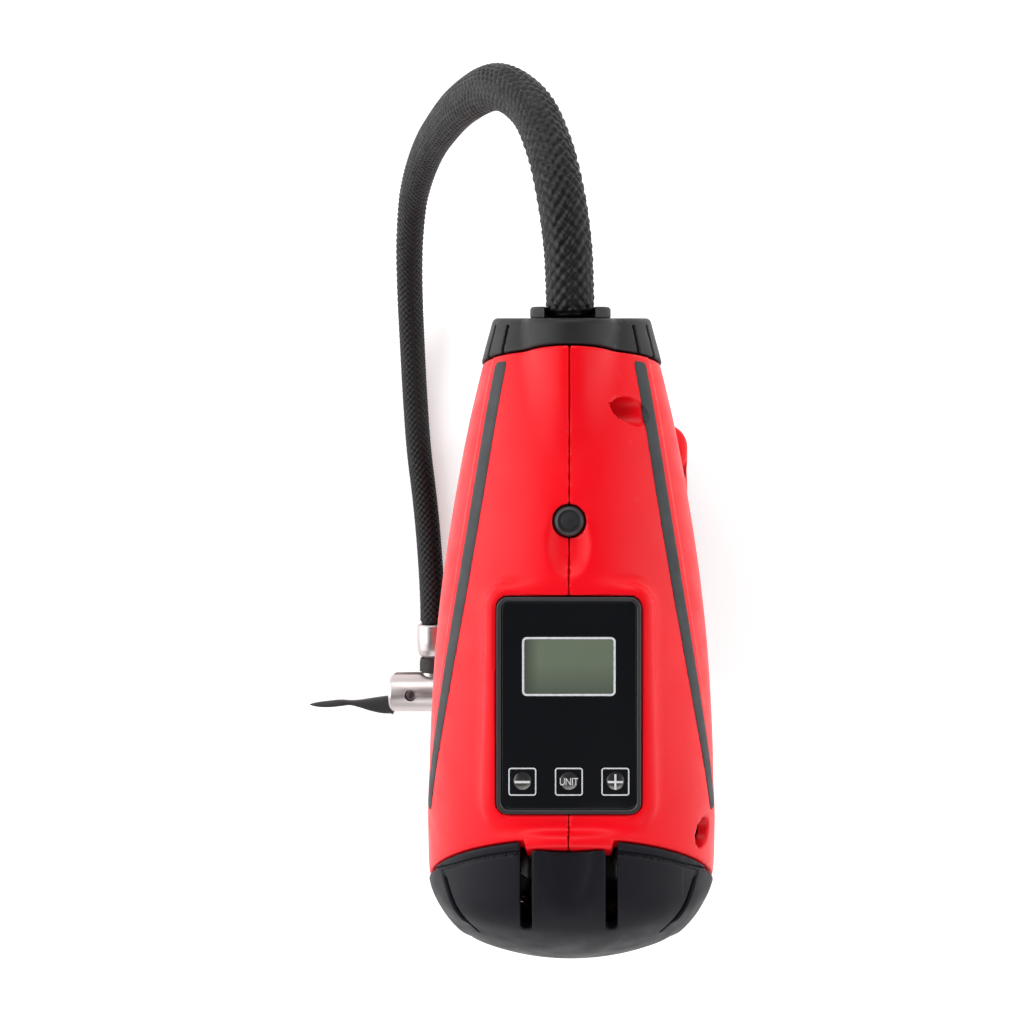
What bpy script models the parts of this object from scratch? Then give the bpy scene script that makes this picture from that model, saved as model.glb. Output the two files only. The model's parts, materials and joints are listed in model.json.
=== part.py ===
"""Portable cordless tire inflator: pistol body, piston pump, air hose with lever chuck, slide-on battery.

Frame: +Y out of the nose, +X to the right of the user, +Z up, origin on the floor below the middle.
All dimensions below are in millimetres and become metres when a mesh is made.
"""

import math

import bmesh
import bpy
from mathutils import Matrix, Vector

MM = 0.001
GAP = 0.3                      # clearance between touching pieces
WALL = 2.4                     # moulded wall of the casing

# Barrel: radius about a level axis at each station from nose to tail.
AXIS_Z = 160.0
BARREL = [(77, 16.9), (72, 17.8), (62, 20.4), (48, 23.7), (31.5, 26.8), (16, 29.2), (0, 31.0),
          (-15, 32.0), (-29.3, 32.5), (-46, 32.4), (-54, 31.8), (-57.5, 30.0), (-63, 27.1),
          (-70.6, 22.6), (-76, 19.4)]
TAIL_BALL_R = 60.0             # the tail is rounded off by a large ball
TAIL_BALL = (0, -15.0, 144.6)
TAIL_JOIN_Y = -45.0            # the ball shapes nothing ahead of here
NOSE_Y = 75.0
COLLAR_SEAM_Y = 61.3
NOSE_TILT = math.radians(13.3)  # the nose face leans back
NOSE_FACE = (0, 72.4, AXIS_Z)
CAP_SEAM_TOP = (0, -35.3, 191.3)
CAP_SEAM_TILT = math.radians(-35.9)
OUTLET_Z = 175.2               # centre line of the hose outlet fairing
FAIRING_R = 9.5
LAMP_Z = 151.0                 # work lamp below the hose outlet

# Inlaid stripes: they climb from low on the tail to halfway up the nose.
STRIPE_ENDS = (59.6, -36.2)
STRIPE_HALF = 1.75
STRIPE_DEPTH = 0.9
STRIPE_PROUD = 0.1
STRIPE_NOSE_ANGLE = 45.5
STRIPE_FALL = 26.0

# Handle stations: height, centre along Y, half depth, half width, corner radius.
HANDLE = [(150, -8, 26, 19, 17), (128, -9, 24.5, 18, 16), (115, -11, 23.5, 17.5, 15.5),
          (100, -13.5, 22.5, 17.2, 15.5), (85, -16, 22.5, 17.2, 15.5), (72, -17, 24, 18.5, 16),
          (64, -14, 29, 23, 16), (58, -6, 40, 32, 13), (53, 1, 50, 38, 10), (49, 4, 55, 40, 8.5),
          (46, 4.5, 55.5, 40.2, 8), (30, 4.5, 55.5, 40.2, 8)]
FOOT_FLOOR = 30.0
GRIP_COVER_Z = (67.0, 121.0)

# Display panel on a flat pad on top of the barrel.
PAD_TOP = 190.0
PANEL_Y = -9.7
PANEL_SIZE = (28.0, 42.0)
LCD_SIZE = (18.4, 11.8)
LCD_Y = -2.1
KEY_SIZE = 5.5
KEY_PITCH = 9.0
KEY_Y = -24.4
KEY_NAMES = ("key_minus", "key_unit", "key_plus")
BEZEL_BASE = 187.8
BEZEL_RIM = 1.0
TRAY_FLOOR = 188.7             # floor inside the bezel, just below the overlay
KEY_BASE = 186.2
BOARD_Z = (183.6, 185.2)
BELOW, ABOVE = 180.0, 195.0    # levels clear below and above the panel, for through cuts
LIGHT_BUTTON_Y = 26.0

# Pump: motor low in the barrel, spur gear above it, cylinder pointing down.
MOTOR_Z = 152.0
MOTOR_R = 14.0
MOTOR_Y = (-60.0, -12.5)
GEAR_TEETH = 32
PINION_TEETH = 8
GEAR_MODULE = 0.85
GEAR_Z = MOTOR_Z + GEAR_MODULE * (GEAR_TEETH + PINION_TEETH) / 2
GEAR_Y = (-8.5, -3.6)
THROW = 4.0
ROD_Y = (7.5, 11.5)
CYLINDER_Y = 9.5
BORE_R = 9.0
BRACKET_Y = (-12.2, -9.7)
SHAFT_R = 3.0
CRANK_PIN_R = 2.0
CYLINDER_R = 10.3
CYLINDER_Z = (141.3, 160.4)
FIN_R = 12.4
FIN_TOPS = (151.6, 148.2, 144.8)
FIN_THICK = 1.3

# Battery: five cells side by side below the foot, held by a tower that slides in the foot's channel.
BATTERY_TOP = 29.6
CASE_SPLIT = 14.2
CELL_R = 9.2
CELL_LENGTH = 65.0
CELL_COUNT = 5
CELL_PITCH = 19.0
FOOT_CENTRE_Y = 4.5
FOOT_HALF = (40.2, 55.5)
RAIL_NECK_X = 23.0
RAIL_HEAD_X = 27.0
RAIL_NECK_TOP = 35.6
RAIL_HEAD_TOP = 43.0
CHANNEL_BACK = -42.0

# Air hose: route of its centre line from the nose fitting to the chuck on the floor.
HOSE_D = 10.4
HOSE_ROUTE = [(0, 71.9, 175.9), (-0.2, 77.5, 177.1), (-0.6, 84, 178), (-2.0, 94, 177.5), (-4.7, 106, 173.5),
              (-9.4, 118.5, 165.5), (-18.3, 130.0, 151.5), (-30.0, 137.6, 128), (-41, 143.2, 101),
              (-48.8, 145.4, 81), (-56, 144.0, 62), (-61.2, 140.0, 46.5), (-66.0, 129.5, 29),
              (-68.6, 113.9, 15.6), (-69.2, 94.3, 8.2), (-68.7, 74.8, 5.5), (-67.2, 54, 5.3),
              (-64.9, 34.5, 5.3), (-63.4, 20, 5.5), (-61.9, 3, 6.6), (-61.1, -9, 7.7), (-60.9, -18.3, 8.0)]
HOSE_POINTS = 46
CHUCK_X = (-78.0, -45.0)
CHUCK_Y = -46.9
CHUCK_Z = 8.0
CHUCK_R = 8.0
FERRULE_X = -60.9
FERRULE_Y = (-32.0, -18.6)
LEVER_PIVOT_X = -68.5
LEVER_PIN_R = 2.1
LEVER_HOLE_R = 2.4
LEVER_EYE_R = 4.6
LEVER_THICK = 4.4
LEVER_SLOT_HALF = 2.6
CHUCK_BORE_R = 4.2
SCREWS = {"screw_nose": (48.5, 179.8), "screw_tail": (-39.3, 176.6),
          "screw_grip": (-28.7, 92.3), "screw_foot": (43.0, 49.4)}
SCREW_SEAT_X = 4.0             # bottom of the screw wells, right of the casing's parting plane

SKINS = {"red_shell": ((0.83, 0.01, 0.02), 0.38, 0.0), "charcoal": ((0.045, 0.045, 0.048), 0.5, 0.0),
         "dark_cap": ((0.028, 0.028, 0.034), 0.45, 0.0), "rubber_inlay": ((0.06, 0.062, 0.064), 0.7, 0.0),
         "gloss_panel": ((0.012, 0.012, 0.014), 0.12, 0.0), "lcd": ((0.13, 0.17, 0.12), 0.25, 0.0),
         "circuit": ((0.02, 0.16, 0.06), 0.45, 0.0), "black_plastic": ((0.02, 0.02, 0.022), 0.45, 0.0),
         "clear_lens": ((0.85, 0.87, 0.9), 0.08, 0.0), "steel": ((0.55, 0.55, 0.56), 0.32, 1.0),
         "nickel": ((0.72, 0.70, 0.67), 0.2, 1.0), "brass": ((0.78, 0.57, 0.25), 0.28, 1.0),
         "alloy": ((0.62, 0.63, 0.64), 0.38, 1.0), "nylon": ((0.75, 0.74, 0.68), 0.5, 0.0),
         "seal_rubber": ((0.03, 0.03, 0.03), 0.7, 0.0), "braid": ((0.015, 0.015, 0.016), 0.75, 0.0),
         "cell_wrap": ((0.05, 0.22, 0.45), 0.35, 0.0)}


# ---------------------------------------------------------------- scene and small helpers

def clear_scene():
    for thing in list(bpy.data.objects):
        bpy.data.objects.remove(thing, do_unlink=True)


def new_collection(name):
    collection = bpy.data.collections.new(name)
    bpy.context.scene.collection.children.link(collection)
    return collection


def skin(name):
    """The named Principled material, made on first use."""
    found = bpy.data.materials.get(name)
    if found:
        return found
    color, roughness, metallic = SKINS[name]
    material = bpy.data.materials.new(name)
    material.use_nodes = True
    shader = material.node_tree.nodes["Principled BSDF"]
    shader.inputs["Base Color"].default_value = (*color, 1.0)
    shader.inputs["Roughness"].default_value = roughness
    shader.inputs["Metallic"].default_value = metallic
    material.diffuse_color = (*color, 1.0)
    return material


clear_scene()
PARTS = new_collection("tire_inflator")
CUTTERS = new_collection("cutters")


def add(name, data, look=None):
    """Links an object: with a look it is a piece, without one it is a cutter or a guide."""
    thing = bpy.data.objects.new(name, data)
    if look:
        PARTS.objects.link(thing)
        data.materials.append(skin(look))
    else:
        CUTTERS.objects.link(thing)
        thing.hide_render = True
        thing.display_type = "WIRE"
    return thing


def finish(name, bm, look=None):
    bmesh.ops.recalc_face_normals(bm, faces=bm.faces)
    mesh = bpy.data.meshes.new(name)
    bm.to_mesh(mesh)
    bm.free()
    return add(name, mesh, look)


def rounded(thing, angle=40):
    thing.data.shade_smooth()
    thing.data.set_sharp_from_angle(angle=math.radians(angle))
    return thing


def box(name, low, high, look=None, turn=None):
    """Block between two corners, optionally turned about its own centre."""
    low, high = Vector(low) * MM, Vector(high) * MM
    bm = bmesh.new()
    bmesh.ops.create_cube(bm, size=1.0)
    bmesh.ops.scale(bm, vec=high - low, verts=bm.verts)
    if turn:
        bmesh.ops.rotate(bm, cent=(0, 0, 0), matrix=turn, verts=bm.verts)
    bmesh.ops.translate(bm, vec=(low + high) / 2, verts=bm.verts)
    return finish(name, bm, look)


def drum(name, radius, start, end, look=None, sides=20):
    """Plain cylinder between two points."""
    start, end = Vector(start) * MM, Vector(end) * MM
    bm = bmesh.new()
    bmesh.ops.create_cone(bm, cap_ends=True, segments=sides, radius1=radius * MM, radius2=radius * MM,
                          depth=(end - start).length)
    turn = (end - start).to_track_quat("Z", "Y").to_matrix()
    bmesh.ops.rotate(bm, cent=(0, 0, 0), matrix=turn, verts=bm.verts)
    bmesh.ops.translate(bm, vec=(start + end) / 2, verts=bm.verts)
    return rounded(finish(name, bm, look))


def turned(name, profile, place, axis, look=None, steps=24, closed=False):
    """Turned shape: (radius, distance along axis) pairs, from the far end back along the outside."""
    bm = bmesh.new()
    verts = [bm.verts.new((radius * MM, 0, along * MM)) for radius, along in profile]
    for a, b in zip(verts, verts[1:] + verts[:1] if closed else verts[1:]):
        bm.edges.new((a, b))
    mesh = bpy.data.meshes.new(name)
    bm.to_mesh(mesh)
    bm.free()
    thing = add(name, mesh, look)
    spin = thing.modifiers.new("turn", "SCREW")
    spin.axis = "Z"
    spin.angle = 2 * math.pi
    spin.steps = spin.render_steps = steps
    spin.use_merge_vertices = True
    spin.merge_threshold = 0.00001
    thing.matrix_world = Matrix.Translation(Vector(place) * MM) @ \
        Vector(axis).to_track_quat("Z", "Y").to_matrix().to_4x4()
    return thing


def loft(name, rings, look=None):
    """Closed solid through unlike sections that all have the same count of points."""
    bm = bmesh.new()
    rows = [[bm.verts.new(Vector(point) * MM) for point in ring] for ring in rings]
    count = len(rows[0])
    for low, high in zip(rows, rows[1:]):
        for i in range(count):
            bm.faces.new((low[i], low[(i + 1) % count], high[(i + 1) % count], high[i]))
    bm.faces.new(list(reversed(rows[0])))
    bm.faces.new(rows[-1])
    return finish(name, bm, look)


def extruded(name, points, thickness, place, look, turn=None):
    """Flat outline with fill and thickness, as a 2D curve in the plane that turn gives."""
    curve = bpy.data.curves.new(name, "CURVE")
    curve.dimensions = "2D"
    curve.fill_mode = "BOTH"
    curve.extrude = thickness * MM / 2
    spline = curve.splines.new("POLY")
    spline.points.add(len(points) - 1)
    spline.use_cyclic_u = True
    for slot, (x, y) in zip(spline.points, points):
        slot.co = (x * MM, y * MM, 0, 1)
    thing = add(name, curve, look)
    thing.matrix_world = Matrix.Translation(Vector(place) * MM) @ (turn or Matrix()).to_4x4()
    return thing


def as_mesh(thing, name, look=None):
    """Closed mesh copy of a curve, with its caps welded. The curve is removed."""
    graph = bpy.context.evaluated_depsgraph_get()
    mesh = bpy.data.meshes.new_from_object(thing.evaluated_get(graph))
    place = thing.matrix_world.copy()
    bpy.data.objects.remove(thing, do_unlink=True)
    bm = bmesh.new()
    bm.from_mesh(mesh)
    bmesh.ops.remove_doubles(bm, verts=bm.verts, dist=0.00001)
    bmesh.ops.recalc_face_normals(bm, faces=bm.faces)
    bm.to_mesh(mesh)
    bm.free()
    mesh.materials.clear()
    made = add(name, mesh, look)
    made.matrix_world = place
    return made


def boolean(thing, other, operation):
    step = thing.modifiers.new(other.name, "BOOLEAN")
    step.operation = operation
    step.object = other
    step.solver = "EXACT"


def cut(thing, *others):
    for other in others:
        boolean(thing, other, "DIFFERENCE")
    return thing


def join(thing, *others):
    for other in others:
        boolean(thing, other, "UNION")
    return thing


def keep(thing, *others):
    for other in others:
        boolean(thing, other, "INTERSECT")
    return thing


def rounded_ring(z, centre_y, half_y, half_x, radius, arc=4):
    """Rounded rectangle seen from above, counter-clockwise, with arc + 1 points a corner."""
    radius = min(radius, half_x - 0.05, half_y - 0.05)
    points = []
    for corner in range(4):
        sign_x = (1, -1, -1, 1)[corner]
        sign_y = (1, 1, -1, -1)[corner]
        middle = (sign_x * (half_x - radius), centre_y + sign_y * (half_y - radius))
        for step in range(arc + 1):
            angle = math.pi / 2 * (corner + step / arc)
            points.append((middle[0] + radius * math.cos(angle), middle[1] + radius * math.sin(angle), z))
    return points


def turn_x(angle):
    return Matrix.Rotation(angle, 3, "X")


# ---------------------------------------------------------------- casing forms shared by several pieces

def barrel_profile(inset):
    """Barrel outline moved inwards, closed on the axis at both ends."""
    points = [(radius - inset, y) for y, radius in BARREL]
    return [(0, points[0][1])] + points + [(0, points[-1][1])]


def barrel_form(name, inset=0.0, look=None):
    """Barrel of revolution with its tail rounded off."""
    barrel = turned(name, barrel_profile(inset), (0, 0, AXIS_Z), (0, 1, 0), look, steps=36)
    radius = TAIL_BALL_R - inset
    arc = [math.radians(turn) for turn in range(90, -91, -6)]
    ball = turned(name + "_tail_ball", [(radius * math.cos(a), radius * math.sin(a)) for a in arc],
                  TAIL_BALL, (0, 1, 0), steps=48)
    reach = box(name + "_reach", (-60, BARREL[-1][0] - 10, 90), (60, TAIL_JOIN_Y, 240))
    return cut(barrel, cut(reach, ball))


def handle_form(name, grow, low, high):
    """Handle loft between two heights, grown or shrunk sideways by the same amount all round."""
    rings = []
    for z, centre, half_y, half_x, radius in HANDLE:
        if low <= z <= high:
            rings.append(rounded_ring(z, centre, half_y + grow, half_x + grow, max(radius + grow, 1.5)))
    return loft(name, rings)


def handle_at(z):
    """Centre, half depth, half width and corner radius of the handle at any height."""
    for top, bottom in zip(HANDLE, HANDLE[1:]):
        if bottom[0] <= z <= top[0]:
            share = (z - bottom[0]) / (top[0] - bottom[0])
            return [b + (a - b) * share for a, b in zip(top[1:], bottom[1:])]
    raise ValueError(z)


def half_space(name, point, tilt, reach=200.0):
    """Big block on the +Y side of a plane that leans back by tilt."""
    turn = turn_x(tilt)
    centre = Vector(point) + turn @ Vector((0, reach / 2, 0))
    size = Vector((reach, reach, reach)) / 2
    return box(name, centre - size, centre + size, turn=turn)


def shared_forms():
    """Solids and voids that the casing pieces are cut from and with."""
    forms = {}
    forms["nose_side"] = half_space("past_nose_face", NOSE_FACE, NOSE_TILT)
    forms["nose_end"] = box("past_nose_end", (-60, NOSE_Y, 100), (60, 120, 220))
    forms["nose_wall"] = half_space("behind_nose_wall", (0, NOSE_FACE[1] - WALL, AXIS_Z), NOSE_TILT)
    forms["ahead"] = box("ahead_of_collar_seam", (-60, COLLAR_SEAM_Y, 0), (60, 160, 230))
    forms["behind"] = box("behind_collar_seam", (-60, -160, 0), (60, COLLAR_SEAM_Y + GAP, 230))
    forms["cap_ahead"] = half_space("ahead_of_cap_seam", CAP_SEAM_TOP, CAP_SEAM_TILT, 260)
    back = Vector(CAP_SEAM_TOP) + turn_x(CAP_SEAM_TILT) @ Vector((0, GAP - 200, 0))
    size = Vector((100, 200, 200))
    forms["cap_behind"] = box("behind_cap_seam", back - size, back + size, turn=turn_x(CAP_SEAM_TILT))
    forms["fairing"] = drum("fairing_form", FAIRING_R, (0, 34, OUTLET_Z), (0, 90, OUTLET_Z), sides=22)
    forms["fairing_void"] = drum("fairing_void", FAIRING_R - WALL, (0, 50, OUTLET_Z), (0, 64, OUTLET_Z),
                                 sides=24)
    forms["collar_void"] = turned("collar_void", [(0, 66.5), (16.6, 66.5), (18.1, 58), (0, 58)],
                                  (0, 0, AXIS_Z), (0, 1, 0), steps=36)
    forms["void"] = barrel_form("barrel_void", WALL)
    return forms


# ---------------------------------------------------------------- casing

def stripe_ring(y, half_width, depth_in, depth_out, side):
    """Four points across a stripe on the barrel surface at one station."""
    share = max(60.0 - y, 0.0) / 96.0
    angle = math.radians(STRIPE_NOSE_ANGLE - STRIPE_FALL * share ** 2.7)
    radius = barrel_radius(y)
    spread = half_width / radius
    points = []
    for offset, depth in ((-1, -depth_in), (1, -depth_in), (1, depth_out), (-1, depth_out)):
        reach = radius + depth
        turn = angle + offset * spread
        points.append((side * reach * math.cos(turn), y, AXIS_Z + reach * math.sin(turn)))
    return points


def barrel_radius(y):
    for front, back in zip(BARREL, BARREL[1:]):
        if back[0] <= y <= front[0]:
            share = (y - back[0]) / (front[0] - back[0])
            return back[1] + (front[1] - back[1]) * share
    raise ValueError(y)


def stripe(name, side, half_width, depth_in, depth_out, ends, look=None):
    stations = [ends[0] + (ends[1] - ends[0]) * i / 12 for i in range(13)]
    return loft(name, [stripe_ring(y, half_width, depth_in, depth_out, side) for y in stations], look)


def casing_half(name, side, forms):
    """One half of the clamshell: barrel, handle and foot in one moulding."""
    half = barrel_form(name, look="red_shell")
    join(half, forms["fairing"], forms["pad"], forms["handle"])
    cut(half, forms["pad_top"], forms["void"], forms["fairing_void"], forms["handle_void"],
        forms["ahead"])
    cut(half, forms["foot_pocket_left"], forms["foot_pocket_right"])
    join(half, *forms["bosses"])
    cut(half, forms["cap_behind"], forms["panel_recess"], forms["panel_opening"], forms["channel_neck"],
        forms["channel_head"])
    cut(half, forms["light_hole"], forms["trigger_slot"], forms["groove_left"], forms["groove_right"])
    cut(half, *forms["screw_wells"])
    cut(half, forms["right_side"] if side < 0 else forms["left_side"])
    return half


def casing(forms):
    half_x, half_y = PANEL_SIZE[0] / 2, PANEL_SIZE[1] / 2
    forms["pad"] = box("panel_pad", (-15.4, PANEL_Y - 22.6, 178), (15.4, PANEL_Y + 22.6, PAD_TOP + 1))
    forms["pad_top"] = box("above_pad", (-15.9, PANEL_Y - 23.1, PAD_TOP), (15.9, PANEL_Y + 23.1, 205))
    forms["panel_recess"] = box("panel_recess", (-half_x - GAP, PANEL_Y - half_y - GAP, 187.5),
                                (half_x + GAP, PANEL_Y + half_y + GAP, 200))
    forms["panel_opening"] = box("panel_opening", (-half_x + 2, PANEL_Y - half_y + 2, 181),
                                 (half_x - 2, PANEL_Y + half_y - 2, 189))
    forms["handle"] = handle_form("handle_form", 0.0, FOOT_FLOOR, 150)
    forms["handle_void"] = handle_form("handle_void", -WALL, 46, 150)
    forms["channel_neck"] = box("channel_neck", (-RAIL_NECK_X - GAP, CHANNEL_BACK + 1, 20),
                                (RAIL_NECK_X + GAP, 80, RAIL_NECK_TOP + 2))
    forms["channel_head"] = box("channel_head", (-RAIL_HEAD_X - GAP, CHANNEL_BACK, RAIL_NECK_TOP),
                                (RAIL_HEAD_X + GAP, 80, RAIL_HEAD_TOP + GAP))
    for tag, side in (("left", -1), ("right", 1)):
        xs = sorted((side * 30.0, side * 37.5))
        forms["foot_pocket_" + tag] = box("foot_pocket_" + tag, (xs[0], -42, 33), (xs[1], 50, 48))
        forms["groove_" + tag] = stripe("groove_" + tag, side, STRIPE_HALF + GAP, STRIPE_DEPTH + GAP, 3.0,
                                         (STRIPE_ENDS[0] + GAP, STRIPE_ENDS[1] - GAP))
    forms["light_hole"] = drum("light_hole", 3.4, (0, LIGHT_BUTTON_Y, 178), (0, LIGHT_BUTTON_Y, 195))
    forms["trigger_slot"] = box("trigger_slot", (-6.4, 0, 99.6), (6.4, 30, 124.9))
    forms["left_side"] = box("left_side", (-120, -120, -10), (0.1, 120, 230))
    forms["right_side"] = box("right_side", (-0.1, -120, -10), (120, 120, 230))
    forms["bosses"] = []
    forms["screw_wells"] = []
    barrel_core = barrel_form("barrel_core", WALL / 2)
    handle_core = handle_form("handle_core", -WALL / 2, FOOT_FLOOR, 150)
    for name, (y, z) in SCREWS.items():
        boss = drum(name + "_boss", 4.6, (-50, y, z), (50, y, z), sides=16)
        forms["bosses"].append(keep(boss, barrel_core if z > 130 else handle_core))
        forms["screw_wells"].append(drum(name + "_well", 3.0, (SCREW_SEAT_X, y, z), (60, y, z), sides=16))
        forms["screw_wells"].append(drum(name + "_pilot", 1.75, (SCREW_SEAT_X - 14, y, z),
                                         (SCREW_SEAT_X + 1, y, z), sides=12))
    for name, side in (("housing_left", -1), ("housing_right", 1)):
        casing_half(name, side, forms)


def end_covers(forms):
    collar = barrel_form("front_collar", look="charcoal")
    cap = barrel_form("rear_cap", look="dark_cap")
    join(collar, forms["fairing"])
    cut(collar, forms["behind"], forms["nose_side"], forms["nose_end"], forms["collar_void"],
        forms["fairing_void"])
    along = Vector((0, math.cos(NOSE_TILT), math.sin(NOSE_TILT)))
    outlet = Vector((0, NOSE_FACE[1] - (OUTLET_Z - AXIS_Z) * math.tan(NOSE_TILT), OUTLET_Z))
    cut(collar, drum("outlet_hole", 6.4, outlet - along * 14, outlet + along * 6, sides=24))
    cut(collar, drum("lamp_hole", 4.6, (0, 60, LAMP_Z), (0, 80, LAMP_Z)))
    cut(cap, forms["cap_ahead"], forms["void"])
    for tag, side in (("left", -1), ("right", 1)):
        xs = sorted((side * 7.1, side * 9.4))
        cut(cap, box("cap_slot_" + tag, (xs[0], -53.3, 180), (xs[1], -30, 200)))
    return outlet, along


def inlays():
    for name, side in (("stripe_left", -1), ("stripe_right", 1)):
        inlay = stripe(name, side, STRIPE_HALF, STRIPE_DEPTH, STRIPE_PROUD, STRIPE_ENDS, "rubber_inlay")
        y, z = SCREWS["screw_nose"]
        cut(inlay, drum(name + "_screw", 3.3, (5, y, z), (40, y, z), sides=16))
    low, high = GRIP_COVER_Z
    heights = [high, 115, 100, 85, 72, low]
    for name, side in (("grip_cover_left", -1), ("grip_cover_right", 1)):
        layers = []
        for grow, reach in ((1.4, 0.0), (GAP, 2.0)):
            rings = []
            for z in heights:
                height = z + (reach if z == high else -reach if z == low else 0)
                centre, half_y, half_x, radius = handle_at(height)
                rings.append(rounded_ring(height, centre, half_y + grow, half_x + grow, radius + grow))
            layers.append(rings)
        cover = loft(name, layers[0], "rubber_inlay")
        cut(cover, loft(name + "_inside", layers[1]))
        cut(cover, box(name + "_front", (-40, -4.3, 40), (40, 60, 140)))
        other = sorted((side * 0.15, side * -60))
        cut(cover, box(name + "_other", (other[0], -90, 40), (other[1], 60, 140)))
        y, z = SCREWS["screw_grip"]
        cut(cover, drum(name + "_screw", 4.0, (side * 5, y, z), (side * 40, y, z), sides=16))


# ---------------------------------------------------------------- display, keys and lamp

def display():
    half_x, half_y = PANEL_SIZE[0] / 2, PANEL_SIZE[1] / 2
    bezel = box("display_bezel", (-half_x, PANEL_Y - half_y, BEZEL_BASE), (half_x, PANEL_Y + half_y, PAD_TOP),
                "gloss_panel")
    in_x, in_y = half_x - BEZEL_RIM, half_y - BEZEL_RIM
    cut(bezel, box("bezel_tray", (-in_x, PANEL_Y - in_y, TRAY_FLOOR), (in_x, PANEL_Y + in_y, ABOVE)))
    cut(bezel, box("lcd_window", (-LCD_SIZE[0] / 2 - GAP, LCD_Y - LCD_SIZE[1] / 2 - GAP, BELOW),
                   (LCD_SIZE[0] / 2 + GAP, LCD_Y + LCD_SIZE[1] / 2 + GAP, ABOVE)))
    overlay = box("display_overlay", (-in_x + GAP, PANEL_Y - in_y + GAP, TRAY_FLOOR + GAP),
                  (in_x - GAP, PANEL_Y + in_y - GAP, PAD_TOP), "gloss_panel")
    box("lcd_module", (-LCD_SIZE[0] / 2, LCD_Y - LCD_SIZE[1] / 2, BOARD_Z[1] + GAP),
        (LCD_SIZE[0] / 2, LCD_Y + LCD_SIZE[1] / 2, TRAY_FLOOR), "lcd")
    box("control_board", (-10.5, -29.5, BOARD_Z[0]), (10.5, 9.5, BOARD_Z[1]), "circuit")
    reach = KEY_SIZE / 2
    for index, name in enumerate(KEY_NAMES):
        x = (index - 1) * KEY_PITCH
        hole = box(name + "_hole", (x - reach - GAP, KEY_Y - reach - GAP, BELOW),
                   (x + reach + GAP, KEY_Y + reach + GAP, ABOVE))
        cut(bezel, hole)
        cut(overlay, hole)
        box(name, (x - reach, KEY_Y - reach, KEY_BASE), (x + reach, KEY_Y + reach, PAD_TOP), "gloss_panel")
    turned("light_button", [(0, 187.9), (2.3, 187.9), (3.1, 187.3), (3.1, 183.6), (4.3, 183.6),
                            (4.3, 182.6), (0, 182.6)], (0, LIGHT_BUTTON_Y, 0), (0, 0, 1), "black_plastic")
    box("button_switch", (-4, LIGHT_BUTTON_Y - 4, 177.5), (4, LIGHT_BUTTON_Y + 4, 181.4), "black_plastic")
    turned("led_lens", [(0, 75.0), (2.6, 74.7), (4.3, 73.2), (4.3, 69.0), (0, 69.0)], (0, 0, LAMP_Z),
           (0, 1, 0), "clear_lens")
    drum("led_board", 5.5, (0, 63.5, LAMP_Z), (0, 65.0, LAMP_Z), "circuit")


def trigger_group():
    """Finger trigger in the grip's front slot and the switch that it presses."""
    outline = [(4.0, 100.2), (19.5, 100.2), (21.6, 101.6), (19.6, 106.0), (18.7, 111.5), (19.6, 117.5),
               (22.6, 123.0), (21.4, 124.3), (4.0, 124.3)]
    upright = Matrix(((0, 0, 1), (1, 0, 0), (0, 1, 0)))
    extruded("trigger_outline", outline, 12.0, (0, 0, 0), "black_plastic", upright)
    as_mesh(bpy.data.objects["trigger_outline"], "trigger", "black_plastic")
    box("trigger_switch", (-8, -22, 101), (8, -2.2, 123), "black_plastic")


# ---------------------------------------------------------------- motor and pump

def gear_outline(teeth, phase):
    """Straight-flanked tooth outline with running backlash."""
    pitch_radius = GEAR_MODULE * teeth / 2
    root, tip = pitch_radius - 0.95, pitch_radius + 0.6
    base_half, tip_half = 0.66, 0.28
    points = []
    for tooth in range(teeth):
        angle = phase + 2 * math.pi * tooth / teeth
        for radius, half in ((root, -base_half), (tip, -tip_half), (tip, tip_half), (root, base_half)):
            turn = angle + half / radius
            points.append((radius * math.cos(turn), radius * math.sin(turn)))
    return points


def gear(name, teeth, phase, z, ys, bore, look):
    """Spur gear about an axis along Y."""
    facing = Matrix(((1, 0, 0), (0, 0, -1), (0, 1, 0)))
    made = extruded(name + "_outline", gear_outline(teeth, phase), ys[1] - ys[0],
                    (0, (ys[0] + ys[1]) / 2, z), look, facing)
    made = as_mesh(made, name, look)
    cut(made, drum(name + "_bore", bore, (0, ys[0] - 2, z), (0, ys[1] + 2, z)))


def motor():
    back, front = MOTOR_Y
    place, axis = (0, 0, MOTOR_Z), (0, 1, 0)
    turned("motor_can", [(2.0, front), (MOTOR_R, front), (MOTOR_R, back + 4.3), (MOTOR_R - 1.2, back + 4.3),
                         (MOTOR_R - 1.2, front - 1.5), (2.0, front - 1.5)], place, axis, "steel", closed=True)
    turned("motor_end_bell", [(2.0, back + 4.0), (MOTOR_R, back + 4.0), (MOTOR_R, back), (2.0, back)],
           place, axis, "black_plastic", closed=True)
    turned("armature", [(1.8, front - 6), (9.5, front - 6), (9.5, back + 14), (4.5, back + 14),
                        (4.5, back + 6.5), (1.8, back + 6.5)], place, axis, "brass", closed=True)
    drum("motor_shaft", 1.5, (0, back - 8, MOTOR_Z), (0, -3.2, MOTOR_Z), "steel", 12)
    fan = turned("cooling_fan", [(1.8, back - 2), (4.0, back - 2), (4.0, back - 3.6), (12.0, back - 3.6),
                                 (12.0, back - 4.8), (1.8, back - 4.8)], place, axis, "nylon", closed=True)
    for blade in range(6):
        turn = Matrix.Rotation(2 * math.pi * blade / 6, 3, "Y")
        reach = Vector((7.8, 0, 0))
        centre = Vector((0, back - 2.4, MOTOR_Z)) + turn @ reach
        size = Vector((4.0, 1.6, 0.5))
        join(fan, box("fan_blade_%d" % blade, centre - size, centre + size, turn=turn))
    gear("pinion", PINION_TEETH, math.pi / 2 + math.pi / PINION_TEETH, MOTOR_Z, GEAR_Y, 1.8, "brass")


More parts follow.
